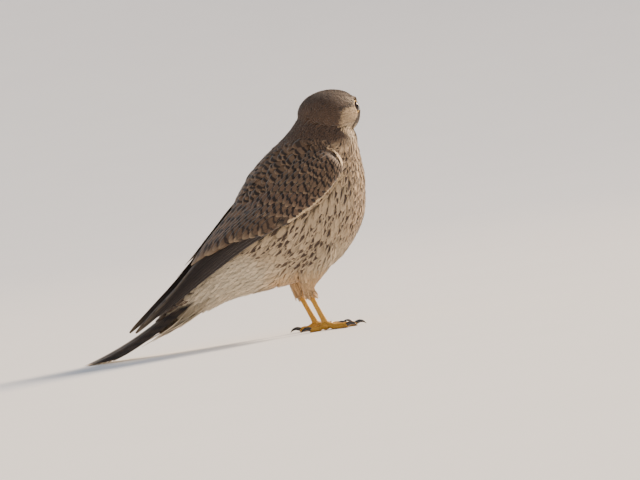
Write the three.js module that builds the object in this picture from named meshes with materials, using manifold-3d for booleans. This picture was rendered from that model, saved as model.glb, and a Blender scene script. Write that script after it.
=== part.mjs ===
// A life-size common kestrel, a female that stands upright with her head turned to her left.
// Millimetres. +X is the way she faces, +Y is her left, +Z is up, and the floor is z = 0.
// At the end the whole bird is moved so that the origin is under the middle of its box.
import * as THREE from "three";
import { mergeVertices } from "three/addons/utils/BufferGeometryUtils.js";
import Module from "manifold-3d";

const wasm = await Module();
wasm.setup();

// Driving sizes
const GAP = 0.3; // clearance between pieces that touch
const VANE = 0.6; // thickness of a feather's vane
const VANE_TIP = 0.4; // its thickness at the tip
const HEAD_CENTRE = [46.5, 0, 187];
const HEAD_TURN = 31; // degrees to her left
const EYE_RADIUS = 6;
const EYE_PLACE = [10.6, 13.9, 3.2]; // from the head's centre, on the left
const TAIL_FEATHERS = 6; // on each side
const TAIL_FAN = { first: 1.7, step: 0.85 }; // degrees from the midline, and from one to the next
const FOOT_PLACE = [8, 15.5]; // where the toes meet, x and y
const TOE_RADIUS = 2.3;

// The body from the neck to the root of the tail:
// [top x, top z, bottom x, bottom z, half width], each a slice across the spine
const BODY = [
  [20.5, 192.5, 47.5, 181, 14],
  [15.5, 188, 56.5, 175.5, 20],
  [8.6, 180, 63, 167.5, 24],
  [-0.5, 171.8, 63.8, 157, 25.5],
  [-13.6, 162.7, 64.8, 145, 27.5],
  [-28, 151.5, 65.8, 130, 30],
  [-40, 139, 64, 112.5, 33],
  [-50, 126, 60, 94.5, 34],
  [-58, 114, 49.5, 77, 33.5],
  [-64, 104, 33, 60.5, 31.5],
  [-70, 95, 10, 49, 28],
  [-77, 87, -20, 43.5, 23.5],
  [-86, 77, -47, 41, 18],
  [-97, 66, -70, 38.5, 14],
  [-111, 51.5, -94, 30.5, 11],
  [-128, 37.5, -114, 21, 8],
  [-143, 26, -134, 15, 4],
];
// The head in its own frame, from the nape to the face
const HEAD = [
  [-33.2, 3, -32.2, -4, 6],
  [-30.3, 10.6, -28.8, -10, 15],
  [-21.4, 17.8, -20.6, -15.8, 21.6],
  [-9.6, 21, -9.4, -18.6, 24.2],
  [1.8, 20.9, 1.4, -18.6, 23.6],
  [9.6, 19, 8.8, -17.9, 21.2],
  [15.4, 15.2, 14.4, -16.8, 17.9],
  [19.2, 10.4, 18.4, -14.8, 13.4],
  [21.8, 5.6, 20.8, -12.4, 8.2],
];
// The upper bill with its cere, and the lower bill, in the head's frame
const UPPER_BILL = [
  [17.2, 4.8, 17.2, -5, 6.3],
  [20.8, 4.5, 20.7, -5.1, 5.8],
  [23.8, 3.7, 23.5, -5.1, 5.1],
  [26.6, 2, 25.7, -5.1, 4.3],
  [29, -0.6, 27.5, -5.4, 3.3],
  [30.6, -3.6, 28.9, -6.4, 2.3],
  [31.2, -6.4, 30.1, -7.6, 1.4],
  [31, -8.9, 30.6, -9.2, 0.6],
];
const LOWER_BILL = [
  [16.7, -4.4, 16.7, -9.4, 5.2],
  [20.6, -4.4, 20.2, -9.3, 4.8],
  [23.8, -4.4, 23.4, -8.9, 4.1],
  [26.2, -4.6, 26, -8.3, 3.1],
  [27.9, -5.6, 27.7, -7.4, 1.8],
];
// The folded right wing: its lower edge, the bulge between the edges, and its upper edge,
// from the bend of the wing to its tip
const WING_LOW = [
  [41, -26, 138.5],
  [31, -33.5, 130],
  [12, -38, 115],
  [-13, -38.5, 101.5],
  [-36, -36, 91.5],
  [-60, -31, 80.5],
  [-90, -24.5, 63.5],
  [-126, -19, 42],
  [-164, -15.5, 20],
];
const WING_BULGE = [
  [44, -30, 148],
  [31, -40.5, 148],
  [6, -45, 139],
  [-21, -43, 126],
  [-46, -37.5, 111],
  [-70, -30, 95],
  [-96, -23, 76.5],
  [-130, -17.5, 50],
  [-164.5, -15, 22.5],
];
const WING_HIGH = [
  [32, -23, 160],
  [16, -18, 165.5],
  [-8, -11, 160],
  [-31, -7, 142],
  [-52.5, -6, 120.5],
  [-73.5, -6, 99],
  [-97, -7.5, 76],
  [-129.5, -10.5, 49.5],
  [-164.5, -13.5, 24.5],
];
// The middle line of the tail, from its root to the floor
const TAIL_LINE = [
  [-52, 82],
  [-92, 54],
  [-144, 13],
  [-206, -1.6],
];
// A feathered leg, down to the heel, for the left side: [x, y, z, half length, half width]
const LEG = [
  [6, 14, 92, 15, 9],
  [8, 17, 78, 20, 12],
  [7, 18.4, 64, 18.5, 11.5],
  [2, 18, 51, 12.5, 8.8],
  [-3, 17.2, 41.5, 6.6, 5.6],
  [-4.4, 17, 36.5, 3.9, 3.4],
];
// The bare shank, from the heel to the toes: [x, y, z, half length, half width]
const SHANK = [
  [-5, 17, 46, 3.4, 2.8],
  [-4, 16.9, 38, 3.0, 2.4],
  [2, 16.2, 22, 2.2, 1.9],
  [7.5, 15.5, 8, 2.8, 2.4],
  [8.2, 15.5, 4.5, 3.0, 2.6],
];

const v = (x, y, z) => new THREE.Vector3(x, y, z);
const radians = THREE.MathUtils.degToRad;
const mix = THREE.MathUtils.lerp;

// A closed solid from a geometry, turned so that its faces point out
function solid(geometry) {
  const bare = new THREE.BufferGeometry();
  bare.setAttribute("position", geometry.getAttribute("position"));
  if (geometry.index) bare.setIndex(geometry.index);
  const merged = mergeVertices(bare, 1e-4);
  const vertProperties = new Float32Array(merged.attributes.position.array);
  const triVerts = new Uint32Array(merged.index.array);
  const made = new wasm.Manifold(new wasm.Mesh({ numProp: 3, vertProperties, triVerts }));
  if (made.volume() > 0) return made;
  for (let i = 0; i < triVerts.length; i += 3) {
    [triVerts[i + 1], triVerts[i + 2]] = [triVerts[i + 2], triVerts[i + 1]];
  }
  return new wasm.Manifold(new wasm.Mesh({ numProp: 3, vertProperties, triVerts }));
}

// The geometry of the largest closed surface of a solid
function geometryOf(made) {
  const largest = made.decompose().sort((a, b) => b.volume() - a.volume())[0];
  const mesh = largest.getMesh();
  const points = new Float32Array(mesh.numVert * 3);
  for (let i = 0; i < mesh.numVert; i += 1) {
    points.set(mesh.vertProperties.subarray(i * mesh.numProp, i * mesh.numProp + 3), i * 3);
  }
  const geometry = new THREE.BufferGeometry();
  geometry.setAttribute("position", new THREE.BufferAttribute(points, 3));
  geometry.setIndex(new THREE.BufferAttribute(mesh.triVerts, 1));
  return geometry;
}

const join = (pieces) => pieces.reduce((whole, piece) => whole.add(piece));
const placed = (made, matrix) => solid(geometryOf(made).applyMatrix4(matrix));
const mirrored = (made) => placed(made, new THREE.Matrix4().makeScale(1, -1, 1));

// A seeded draw from 0 to 1
function draws(seed) {
  let state = seed;
  return () => {
    state = (state * 1664525 + 1013904223) % 4294967296;
    return state / 4294967296;
  };
}

// A closed skin over rings of equal length, with a point at each end
function loft(rings) {
  const points = [];
  const faces = [];
  const count = rings[0].length;
  rings.forEach((ring) => ring.forEach((p) => points.push(p.x, p.y, p.z)));
  const middle = (ring) => ring.reduce((sum, p) => sum.add(p), v(0, 0, 0)).divideScalar(count);
  for (let i = 0; i < rings.length - 1; i += 1) {
    for (let j = 0; j < count; j += 1) {
      const a = i * count + j;
      const b = i * count + ((j + 1) % count);
      faces.push(a, b, b + count, a, b + count, a + count);
    }
  }
  [0, rings.length - 1].forEach((end, side) => {
    const m = middle(rings[end]);
    const pole = points.length / 3;
    points.push(m.x, m.y, m.z);
    for (let j = 0; j < count; j += 1) {
      const a = end * count + j;
      const b = end * count + ((j + 1) % count);
      faces.push(...(side ? [pole, a, b] : [pole, b, a]));
    }
  });
  const geometry = new THREE.BufferGeometry();
  geometry.setAttribute("position", new THREE.Float32BufferAttribute(points, 3));
  geometry.setIndex(faces);
  return geometry;
}

// A ring in the plane of two half axes; squareness 2 is an ellipse
function ringOf(centre, along, across, count, squareness) {
  const bend = (c) => Math.sign(c) * Math.abs(c) ** (2 / squareness);
  return Array.from({ length: count }, (_, i) => {
    const angle = (i / count) * Math.PI * 2;
    return centre
      .clone()
      .addScaledVector(along, bend(Math.cos(angle)))
      .addScaledVector(across, bend(Math.sin(angle)));
  });
}

// A body through slices [top x, top z, bottom x, bottom z, half width], grown all round
function slices(stations, { steps, count, grow = 0, squareness = 2.15 }) {
  const top = new THREE.CatmullRomCurve3(stations.map(([x, z]) => v(x, 0, z)));
  const low = new THREE.CatmullRomCurve3(stations.map(([, , x, z, w]) => v(x, w, z)));
  const rings = Array.from({ length: steps + 1 }, (_, i) => {
    const t = top.getPoint(i / steps);
    const b = low.getPoint(i / steps);
    const width = b.y + grow;
    b.y = 0;
    const centre = t.clone().add(b).multiplyScalar(0.5);
    const along = t.sub(centre);
    along.setLength(along.length() + grow);
    return ringOf(centre, along, v(0, width, 0), count, squareness);
  });
  return loft(rings);
}

// A limb through [x, y, z, half length, half width], in level slices
function limb(stations, { steps, count, grow = 0 }) {
  const line = new THREE.CatmullRomCurve3(stations.map(([x, y, z]) => v(x, y, z)));
  const size = new THREE.CatmullRomCurve3(stations.map(([, , , a, b]) => v(a, b, 0)));
  const rings = Array.from({ length: steps + 1 }, (_, i) => {
    const s = size.getPoint(i / steps);
    const across = v(0, s.y + grow, 0);
    return ringOf(line.getPoint(i / steps), v(s.x + grow, 0, 0), across, count, 2);
  });
  return loft(rings);
}

// A round bar along points, with a radius at each
function bar(points, radii, count) {
  const curve = new THREE.CatmullRomCurve3(points);
  const size = new THREE.CatmullRomCurve3(radii.map((r) => v(r, 0, 0)));
  const steps = Math.round((points.length - 1) * 1.6);
  const rings = Array.from({ length: steps + 1 }, (_, i) => {
    const t = curve.getTangent(i / steps);
    const side = v(0, 0, 1).cross(t).normalize();
    const up = t.clone().cross(side);
    const r = size.getPoint(i / steps).x;
    return ringOf(curve.getPoint(i / steps), up.multiplyScalar(r), side.multiplyScalar(r), count, 2);
  });
  return loft(rings);
}

// The share of a vane's full width at a share of its length: a narrow root, a full middle, a round tip
function fullness(s, point, blunt) {
  const root = mix(0.5, 1, Math.min(1, s / 0.35));
  const tip = s < point ? 1 : Math.sqrt(Math.max(0, 1 - ((s - point) / (1 - point)) ** 2));
  return root * Math.max(tip, blunt);
}

// One feather: a thin blade along a line of [place, normal], rolled about its own length
function vane(place, { width, roll = 0, segments = 4, point = 0.6, blunt = 0.35 }) {
  const points = [];
  const faces = [];
  for (let i = 0; i <= segments; i += 1) {
    const s = 1 - (1 - i / segments) ** 1.5; // closer together towards the tip
    const [p, n] = place(s);
    const [next] = place(Math.min(1, s + 0.02));
    const [last] = place(Math.max(0, s - 0.02));
    const along = next.sub(last).normalize();
    const side = along.clone().cross(n).normalize();
    side.applyAxisAngle(along, roll);
    const up = side.clone().cross(along).normalize();
    const half = (width / 2) * fullness(s, point, blunt);
    const thick = mix(VANE, VANE_TIP, s) / 2;
    [[-1, 1], [1, 1], [1, -1], [-1, -1]].forEach(([across, high]) => {
      const q = p.clone().addScaledVector(side, across * half).addScaledVector(up, high * thick);
      points.push(q.x, q.y, q.z);
    });
  }
  for (let i = 0; i < segments; i += 1) {
    const a = i * 4;
    const b = a + 4;
    faces.push(a, a + 1, b + 1, a, b + 1, b); // upper face
    faces.push(a + 3, b + 2, a + 2, a + 3, b + 3, b + 2); // lower face, split alike
    faces.push(a + 1, a + 2, b + 2, a + 1, b + 2, b + 1);
    faces.push(a + 3, a, b, a + 3, b, b + 3);
  }
  const e = segments * 4;
  faces.push(0, 2, 1, 0, 3, 2, e, e + 1, e + 2, e, e + 2, e + 3);
  const geometry = new THREE.BufferGeometry();
  geometry.setAttribute("position", new THREE.Float32BufferAttribute(points, 3));
  geometry.setIndex(faces);
  return solid(geometry);
}

// The wing's outer face: a is the share of the way to the tip, t the share from low edge to high
const wingCurves = [WING_LOW, WING_BULGE, WING_HIGH].map(
  (row) => new THREE.CatmullRomCurve3(row.map((p) => v(...p))),
);
function wingFace(a, t) {
  const [low, bulge, high] = wingCurves.map((curve) => curve.getPoint(THREE.MathUtils.clamp(a, 0, 1)));
  return low
    .multiplyScalar((1 - t) ** 2)
    .addScaledVector(bulge, 2 * t * (1 - t))
    .addScaledVector(high, t * t);
}
function wingPlace(a, t, height) {
  const step = 0.01;
  const p = wingFace(a, t);
  const along = wingFace(a + step, t).sub(wingFace(a - step, t));
  const across = wingFace(a, t + step).sub(wingFace(a, t - step));
  const normal = across.cross(along).normalize();
  if (normal.y > 0 && t < 0.7) normal.negate();
  return [p.addScaledVector(normal, height), normal];
}

// A row of feathers on the wing. tips and roots are [a, t] at the row's two ends
function wingRow(row, random) {
  const { count, tips, roots, heights, width, segments = 3, point = 0.6, roll = 0.19 } = row;
  return Array.from({ length: count }, (_, i) => {
    const k = count > 1 ? i / (count - 1) : 0;
    const tip = [0, 1].map((c) => mix(tips[0][c], tips[1][c], k));
    const root = [0, 1].map((c) => mix(roots[0][c], roots[1][c], k));
    tip[0] += (random() - 0.5) * 0.012;
    const place = (s) =>
      wingPlace(mix(root[0], tip[0], s), mix(root[1], tip[1], s), mix(heights[0], heights[1], s));
    return vane(place, { width, roll, segments, point });
  });
}

// The rows of a wing, from under to over
const WING_ROWS = [
  // secondaries
  {
    count: 4,
    width: 13,
    tips: [[0.55, 0.12], [0.69, 0.5]],
    roots: [[0.3, 0.2], [0.42, 0.52]],
    heights: [-1, 0.9],
  },
  // tertials
  {
    count: 3,
    width: 14,
    tips: [[0.72, 0.64], [0.765, 0.9]],
    roots: [[0.4, 0.66], [0.42, 0.88]],
    heights: [-1, 1.6],
  },
  // primary coverts
  {
    count: 3,
    width: 8,
    tips: [[0.46, 0.04], [0.5, 0.16]],
    roots: [[0.2, 0.1], [0.26, 0.2]],
    heights: [-1.2, 0.8],
  },
  // greater, median and lesser coverts
  {
    count: 5,
    width: 12,
    tips: [[0.4, 0.1], [0.585, 0.78]],
    roots: [[0.22, 0.14], [0.36, 0.76]],
    heights: [-1.4, 2.1],
  },
  {
    count: 5,
    width: 12,
    tips: [[0.29, 0.1], [0.46, 0.76]],
    roots: [[0.14, 0.14], [0.27, 0.74]],
    heights: [-1.4, 2.3],
  },
  {
    count: 5,
    width: 11,
    tips: [[0.19, 0.12], [0.36, 0.74]],
    roots: [[0.06, 0.16], [0.2, 0.72]],
    heights: [-1.4, 2.3],
  },
  // scapulars
  {
    count: 3,
    width: 10.5,
    tips: [[0.58, 0.87], [0.55, 0.74]],
    roots: [[0.37, 0.88], [0.35, 0.76]],
    heights: [-1, 3.1],
  },
  {
    count: 3,
    width: 10.5,
    tips: [[0.42, 0.88], [0.39, 0.74]],
    roots: [[0.22, 0.88], [0.21, 0.76]],
    heights: [-1, 3.3],
  },
];
// Each primary from the outermost in: [tip a, tip t, root a, root t]
const PRIMARIES = [
  [0.935, 0.12, 0.34, 0.05],
  [0.995, 0.3, 0.35, 0.08],
  [0.985, 0.46, 0.36, 0.12],
  [0.945, 0.6, 0.37, 0.17],
  [0.895, 0.7, 0.39, 0.24],
  [0.85, 0.76, 0.4, 0.31],
  [0.81, 0.8, 0.42, 0.38],
];

// The flesh and small feathers that carry the wing's vanes
function wingCore() {
  const ends = [0.0, 0.54];
  const steps = 7;
  const count = 6;
  const rings = Array.from({ length: steps + 1 }, (_, i) => {
    const a = mix(ends[0], ends[1], i / steps);
    const thick = mix(7.5, 6.2, i / steps);
    const edge = (t, h) => wingPlace(a, t, h)[0];
    const outer = Array.from({ length: count }, (_, j) => edge(0.02 + (j / (count - 1)) * 0.96, 0));
    const inner = outer.map((_, j) => edge(0.98 - (j / (count - 1)) * 0.96, -thick));
    return [...outer, ...inner];
  });
  return solid(loft(rings));
}

function wing(seed) {
  const random = draws(seed);
  const pieces = [wingCore()];
  PRIMARIES.forEach(([tipA, tipT, rootA, rootT], i) => {
    const height = -5.6 + i * 0.95;
    const place = (s) => wingPlace(mix(rootA, tipA, s), mix(rootT, tipT, s ** 0.8), height);
    pieces.push(vane(place, { width: 10.5, segments: 5, point: 0.45, blunt: 0.12, roll: 0.08 }));
  });
  WING_ROWS.forEach((row) => pieces.push(...wingRow(row, random)));
  return join(pieces);
}

// The tail: vanes in two bundles, the middle pair on top
const tailCurve = new THREE.CubicBezierCurve3(...TAIL_LINE.map(([x, z]) => v(x, 0, z)));
function tailPlace(u, degrees, height) {
  const p = tailCurve.getPoint(u);
  const tangent = tailCurve.getTangent(u);
  const normal = v(-tangent.z, 0, tangent.x).negate();
  const reach = tailCurve.getPoint(0).distanceTo(p);
  p.y = reach * Math.tan(radians(degrees));
  return [p.addScaledVector(normal, height), normal];
}
function tailFeathers() {
  const pieces = [];
  [-1, 1].forEach((side) => {
    for (let k = 0; k < TAIL_FEATHERS; k += 1) {
      const degrees = side * (TAIL_FAN.first + k * TAIL_FAN.step);
      const end = 1 - k * 0.022;
      const height = (s) => mix(2.6, 1.55, s) - k * mix(0.95, 0.82, s);
      const place = (s) => tailPlace(mix(0.3, end, s), degrees, height(s));
      pieces.push(vane(place, { width: 17 - k * 0.5, segments: 7, point: 0.7, roll: side * 0.05 }));
    }
  });
  return pieces;
}
// Coverts over and under the tail's root
function tailCoverts(random) {
  const pieces = [];
  [[8, 4, 0.5, 0.24, 1], [-6.5, 4, 0.58, 0.26, -1]].forEach(([height, count, end, start, way]) => {
    for (let i = 0; i < count; i += 1) {
      const degrees = mix(-9, 9, i / (count - 1));
      const last = end - Math.abs(i - (count - 1) / 2) * 0.035 + random() * 0.02;
      const place = (s) => tailPlace(mix(start, last, s), degrees, mix(height * 0.4, height, s));
      pieces.push(vane(place, { width: 10, segments: 3, point: 0.5, roll: way * 0.12 }));
    }
  });
  return pieces;
}

// A thin sheet across the body, for parting it
function cutter([x, z], tilt) {
  const sheet = new THREE.BoxGeometry(160, 120, GAP);
  sheet.applyMatrix4(new THREE.Matrix4().makeRotationY(radians(tilt)));
  sheet.applyMatrix4(new THREE.Matrix4().makeTranslation(x, 0, z));
  return solid(sheet);
}
const floorBlock = () => solid(new THREE.BoxGeometry(700, 300, 40).translate(-60, 0, -20));

// The head's frame
const headFrame = new THREE.Matrix4()
  .makeTranslation(...HEAD_CENTRE)
  .multiply(new THREE.Matrix4().makeRotationZ(radians(HEAD_TURN)));
const inHead = (geometry) => solid(geometry.applyMatrix4(headFrame));

function eyeBall(side, grow = 0) {
  const ball = new THREE.SphereGeometry(EYE_RADIUS + grow, 12, 8);
  ball.rotateX(Math.PI / 2);
  const [x, y, z] = EYE_PLACE;
  return inHead(ball.translate(x, y * side, z));
}
const eyeFacing = (side) => v(0.46, side * 0.88, 0.08).normalize();
// The shallow hollow that the eye sits in
function socket(side) {
  const ball = new THREE.SphereGeometry(10, 12, 10);
  const [x, y, z] = EYE_PLACE;
  const c = v(x, y * side, z).addScaledVector(eyeFacing(side), 12.2);
  return inHead(ball.translate(c.x, c.y, c.z));
}
// The rim of the lids: a ring round the eye that faces out and a little forwards
function lids(side) {
  const ring = new THREE.TorusGeometry(EYE_RADIUS * 0.88, 1.0, 6, 14);
  const facing = eyeFacing(side);
  ring.applyQuaternion(new THREE.Quaternion().setFromUnitVectors(v(0, 0, 1), facing));
  const [x, y, z] = EYE_PLACE;
  const out = EYE_RADIUS * 0.56;
  ring.translate(x + facing.x * out, y * side + facing.y * out, z + facing.z * out);
  return inHead(ring);
}
function brow(side) {
  const line = [
    v(19.2, side * 9.2, 8),
    v(15.2, side * 14.2, 10.2),
    v(9.2, side * 18, 10.9),
    v(2.2, side * 20.4, 9.9),
  ];
  return inHead(bar(line, [0.9, 1.6, 1.7, 0.8], 6));
}
const bill = (stations, grow) =>
  inHead(slices(stations, { steps: stations.length + 1, count: 12, grow, squareness: 2 }));
// The line of the mouth, back from the bill to below the eye
function gape(side) {
  const line = [v(20.7, side * 7, -5.2), v(17.5, side * 12.4, -5.8), v(13.2, side * 16.9, -6.9)];
  return inHead(bar(line, [0.7, 0.8, 0.4], 6));
}
function nostril(side) {
  const hole = new THREE.CylinderGeometry(0.75, 0.75, 3, 10);
  return inHead(hole.translate(22.8, side * 5.2, 0.8));
}

// One toe from where the toes meet: knuckles that stand over pads that lie on the floor
function toe(length, degrees, side) {
  const heading = v(Math.cos(radians(degrees)), side * Math.sin(radians(degrees)), 0);
  const [x, y] = FOOT_PLACE;
  const at = (share, z) => v(x, side * y, z).addScaledVector(heading, length * share);
  const line = [at(-0.02, 6), at(0.22, 3.8), at(0.48, 2), at(0.72, 2.3), at(1, 1.7)];
  return { line, heading, end: at(1, 1.7) };
}
// [length, degrees outwards]: inner, middle, outer and back toe
const TOES = [
  [21, -24],
  [28, 6],
  [21, 38],
  [15, 176],
];
const claws = {};
function foot(side, name) {
  const [x, y] = FOOT_PLACE;
  const pad = solid(new THREE.SphereGeometry(4.4, 10, 7).scale(1, 0.9, 0.85).translate(x, side * y, 3.9));
  const pieces = [pad];
  TOES.forEach(([length, degrees], i) => {
    const { line, heading, end } = toe(length, degrees, side);
    const r = TOE_RADIUS;
    const knuckles = [r * 1.1, r, r * 1.08, r, r * 0.8];
    pieces.push(solid(bar(line, knuckles, 6)));
    const out = (reach, z) => end.clone().addScaledVector(heading, reach).setZ(z);
    const hook = [out(-1, 2.6), out(2.6, 3.6), out(6, 2.9), out(8.4, 0.9)];
    const claw = solid(bar(hook, [1.7, 1.45, 1.0, 0.35], 6));
    const root = solid(bar(line, knuckles.map((radius) => radius + GAP), 6));
    claws[`claw_${name}_${i + 1}`] = claw.subtract(root).subtract(floorBlock());
  });
  return join(pieces).subtract(floorBlock());
}

// The whole body in one, then parted with thin cuts
const bodyCore = solid(slices(BODY, { steps: 21, count: 18 }));
const bodyGrown = solid(slices(BODY, { steps: 21, count: 18, grow: GAP + 0.1 }));
const headCore = inHead(slices(HEAD, { steps: 12, count: 18, squareness: 2.1 }));
const whole = join([bodyCore, headCore]);
const parted = whole
  .subtract(cutter([34, 168.4], -1))
  .subtract(cutter([27, 151], -13))
  .subtract(cutter([-79, 60], 52))
  .decompose()
  .filter((piece) => piece.volume() > 50)
  .sort((a, b) => b.boundingBox().max[2] - a.boundingBox().max[2]);
const [skull, neck, torso, tailRoot] = parted;

const face = join([skull.subtract(socket(1)).subtract(socket(-1)), brow(1), brow(-1), lids(1), lids(-1)])
  .subtract(gape(1))
  .subtract(gape(-1))
  .subtract(eyeBall(1, GAP))
  .subtract(eyeBall(-1, GAP))
  .subtract(bill(UPPER_BILL, GAP))
  .subtract(bill(LOWER_BILL, GAP));
const upperBill = bill(UPPER_BILL, 0).subtract(nostril(1)).subtract(nostril(-1));
const lowerBill = bill(LOWER_BILL, 0).subtract(bill(UPPER_BILL, GAP));

const tail = join([tailRoot, ...tailFeathers(), ...tailCoverts(draws(7))]).subtract(floorBlock());
const wingRight = wing(11).subtract(bodyGrown).subtract(headCore);
const wingLeft = mirrored(wing(23)).subtract(bodyGrown).subtract(headCore);

const sides = { left: 1, right: -1 };
const solids = {
  head: face,
  bill_upper: upperBill,
  bill_lower: lowerBill,
  neck,
  torso,
  tail,
  wing_right: wingRight,
  wing_left: wingLeft,
};
const toSide = (made, side) => (side > 0 ? made : mirrored(made));
Object.entries(sides).forEach(([name, side]) => {
  solids[`eye_${name}`] = eyeBall(side);
  const shank = toSide(solid(limb(SHANK, { steps: 6, count: 10 })), side);
  const shankGrown = toSide(solid(limb(SHANK, { steps: 6, count: 10, grow: GAP })), side);
  const thigh = toSide(solid(limb(LEG, { steps: 8, count: 16 })), side);
  solids[`leg_${name}`] = thigh.subtract(bodyGrown).subtract(shankGrown);
  const toes = foot(side, name);
  solids[`foot_${name}`] = toes.subtract(shankGrown);
  solids[`shank_${name}`] = shank;
});
Object.assign(solids, claws);

// Finishes, from the look of a female kestrel
const FINISHES = {
  plumage: { color: 0x7a5a40, roughness: 0.85 },
  horn: { color: 0x3c4047, roughness: 0.35 },
  eye: { color: 0x17100c, roughness: 0.08 },
  scale: { color: 0xc9a02c, roughness: 0.55 },
  claw: { color: 0x16161a, roughness: 0.3 },
};
function finishOf(name) {
  if (name.startsWith("eye")) return "eye";
  if (name.startsWith("bill")) return "horn";
  if (name.startsWith("claw")) return "claw";
  if (name.startsWith("foot") || name.startsWith("shank")) return "scale";
  return "plumage";
}

const kestrel = new THREE.Group();
Object.entries(solids).forEach(([name, made]) => {
  const mesh = new THREE.Mesh(geometryOf(made), new THREE.MeshStandardMaterial(FINISHES[finishOf(name)]));
  mesh.name = name;
  kestrel.add(mesh);
});
const box = new THREE.Box3().setFromObject(kestrel);
const middle = box.getCenter(v(0, 0, 0));
kestrel.position.set(-middle.x, -middle.y, -box.min.z);

export default kestrel;
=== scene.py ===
import itertools
import math
from functools import partial

import bpy
import numpy as np
from mathutils import Matrix, Vector
from mathutils.bvhtree import BVHTree


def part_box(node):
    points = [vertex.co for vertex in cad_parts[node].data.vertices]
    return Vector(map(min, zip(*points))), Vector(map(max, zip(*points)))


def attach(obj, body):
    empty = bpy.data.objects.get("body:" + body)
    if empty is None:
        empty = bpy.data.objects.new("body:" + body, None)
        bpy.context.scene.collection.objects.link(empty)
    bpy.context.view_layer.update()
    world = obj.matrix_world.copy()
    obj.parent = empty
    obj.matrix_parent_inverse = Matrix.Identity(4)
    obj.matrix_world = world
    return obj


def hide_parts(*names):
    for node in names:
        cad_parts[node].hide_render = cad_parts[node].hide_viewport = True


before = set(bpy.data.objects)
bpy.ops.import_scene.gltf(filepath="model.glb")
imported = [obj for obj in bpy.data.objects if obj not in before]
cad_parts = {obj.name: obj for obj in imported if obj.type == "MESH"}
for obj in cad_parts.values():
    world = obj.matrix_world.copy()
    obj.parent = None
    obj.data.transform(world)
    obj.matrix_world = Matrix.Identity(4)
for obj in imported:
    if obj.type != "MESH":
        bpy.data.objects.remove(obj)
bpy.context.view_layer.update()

# A life-size common kestrel, a female. Lengths here are millimetres in the bird's own
# coordinates: +X the way she faces, +Y her left, +Z up, the floor at z = 0. A mesh is turned
# to metres and moved to the frame when it is made.
MM = 0.001
COAT = 1.6  # how far the skin lies inside the outer face of the plumage
HEAD_CENTRE = np.array([46.5, 0, 187])
HEAD_TURN = math.radians(31)
EYE_RADIUS = 6
EYE_PLACE = np.array([10.6, 13.9, 3.2])
EYE_FACING = np.array([0.46, 0.88, 0.08]) / np.linalg.norm([0.46, 0.88, 0.08])
FOOT_PLACE = np.array([8, 15.5])
EYE_CLEAR = 6.5  # how far from the eye's axis the coat's feathers stay
TOE_RADIUS = 2.3
FLOOR_EASE = 1.2  # below this height the tail's feathers are pressed together on the floor
DRAWS = 170000  # places tried for the coat's feathers
SIDES = {"left": 1, "right": -1}

# [top x, top z, bottom x, bottom z, half width] of slices across the spine, neck to tail
BODY = np.array([
    [20.5, 192.5, 47.5, 181, 14],
    [15.5, 188, 56.5, 175.5, 20],
    [8.6, 180, 63, 167.5, 24],
    [-0.5, 171.8, 63.8, 157, 25.5],
    [-13.6, 162.7, 64.8, 145, 27.5],
    [-28, 151.5, 65.8, 130, 30],
    [-40, 139, 64, 112.5, 33],
    [-50, 126, 60, 94.5, 34],
    [-58, 114, 49.5, 77, 33.5],
    [-64, 104, 33, 60.5, 31.5],
    [-70, 95, 10, 49, 28],
    [-77, 87, -20, 43.5, 23.5],
    [-86, 77, -47, 41, 18],
    [-97, 66, -70, 38.5, 14],
    [-111, 51.5, -94, 30.5, 11],
    [-128, 37.5, -114, 21, 8],
    [-143, 26, -134, 15, 4],
], float)
# The same for the head, in its own frame, from the nape to the face
HEAD = np.array([
    [-33.2, 3, -32.2, -4, 6],
    [-30.3, 10.6, -28.8, -10, 15],
    [-21.4, 17.8, -20.6, -15.8, 21.6],
    [-9.6, 21, -9.4, -18.6, 24.2],
    [1.8, 20.9, 1.4, -18.6, 23.6],
    [9.6, 19, 8.8, -17.9, 21.2],
    [15.4, 15.2, 14.4, -16.8, 17.9],
    [19.2, 10.4, 18.4, -14.8, 13.4],
    [21.8, 5.6, 20.8, -12.4, 8.2],
], float)
UPPER_BILL = np.array([
    [17.2, 4.8, 17.2, -5, 6.3],
    [20.8, 4.5, 20.7, -5.1, 5.8],
    [23.8, 3.7, 23.5, -5.1, 5.1],
    [26.6, 2, 25.7, -5.1, 4.3],
    [29, -0.6, 27.5, -5.4, 3.3],
    [30.6, -3.6, 28.9, -6.4, 2.3],
    [31.2, -6.4, 30.1, -7.6, 1.4],
    [31, -8.9, 30.6, -9.2, 0.6],
], float)
LOWER_BILL = np.array([
    [16.7, -4.4, 16.7, -9.4, 5.2],
    [20.6, -4.4, 20.2, -9.3, 4.8],
    [23.8, -4.4, 23.4, -8.9, 4.1],
    [26.2, -4.6, 26, -8.3, 3.1],
    [27.9, -5.6, 27.7, -7.4, 1.8],
], float)
# The folded right wing: lower edge, bulge and upper edge, from its bend to its tip
WING_LOW = np.array([
    [41, -26, 138.5], [31, -33.5, 130], [12, -38, 115], [-13, -38.5, 101.5], [-36, -36, 91.5],
    [-60, -31, 80.5], [-90, -24.5, 63.5], [-126, -19, 42], [-164, -15.5, 20],
], float)
WING_BULGE = np.array([
    [44, -30, 148], [31, -40.5, 148], [6, -45, 139], [-21, -43, 126], [-46, -37.5, 111],
    [-70, -30, 95], [-96, -23, 76.5], [-130, -17.5, 50], [-164.5, -15, 22.5],
], float)
WING_HIGH = np.array([
    [32, -23, 160], [16, -18, 165.5], [-8, -11, 160], [-31, -7, 142], [-52.5, -6, 120.5],
    [-73.5, -6, 99], [-97, -7.5, 76], [-129.5, -10.5, 49.5], [-164.5, -13.5, 24.5],
], float)
TAIL_LINE = np.array([[-52, 82], [-92, 54], [-144, 13], [-206, -1.6]], float)
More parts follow.
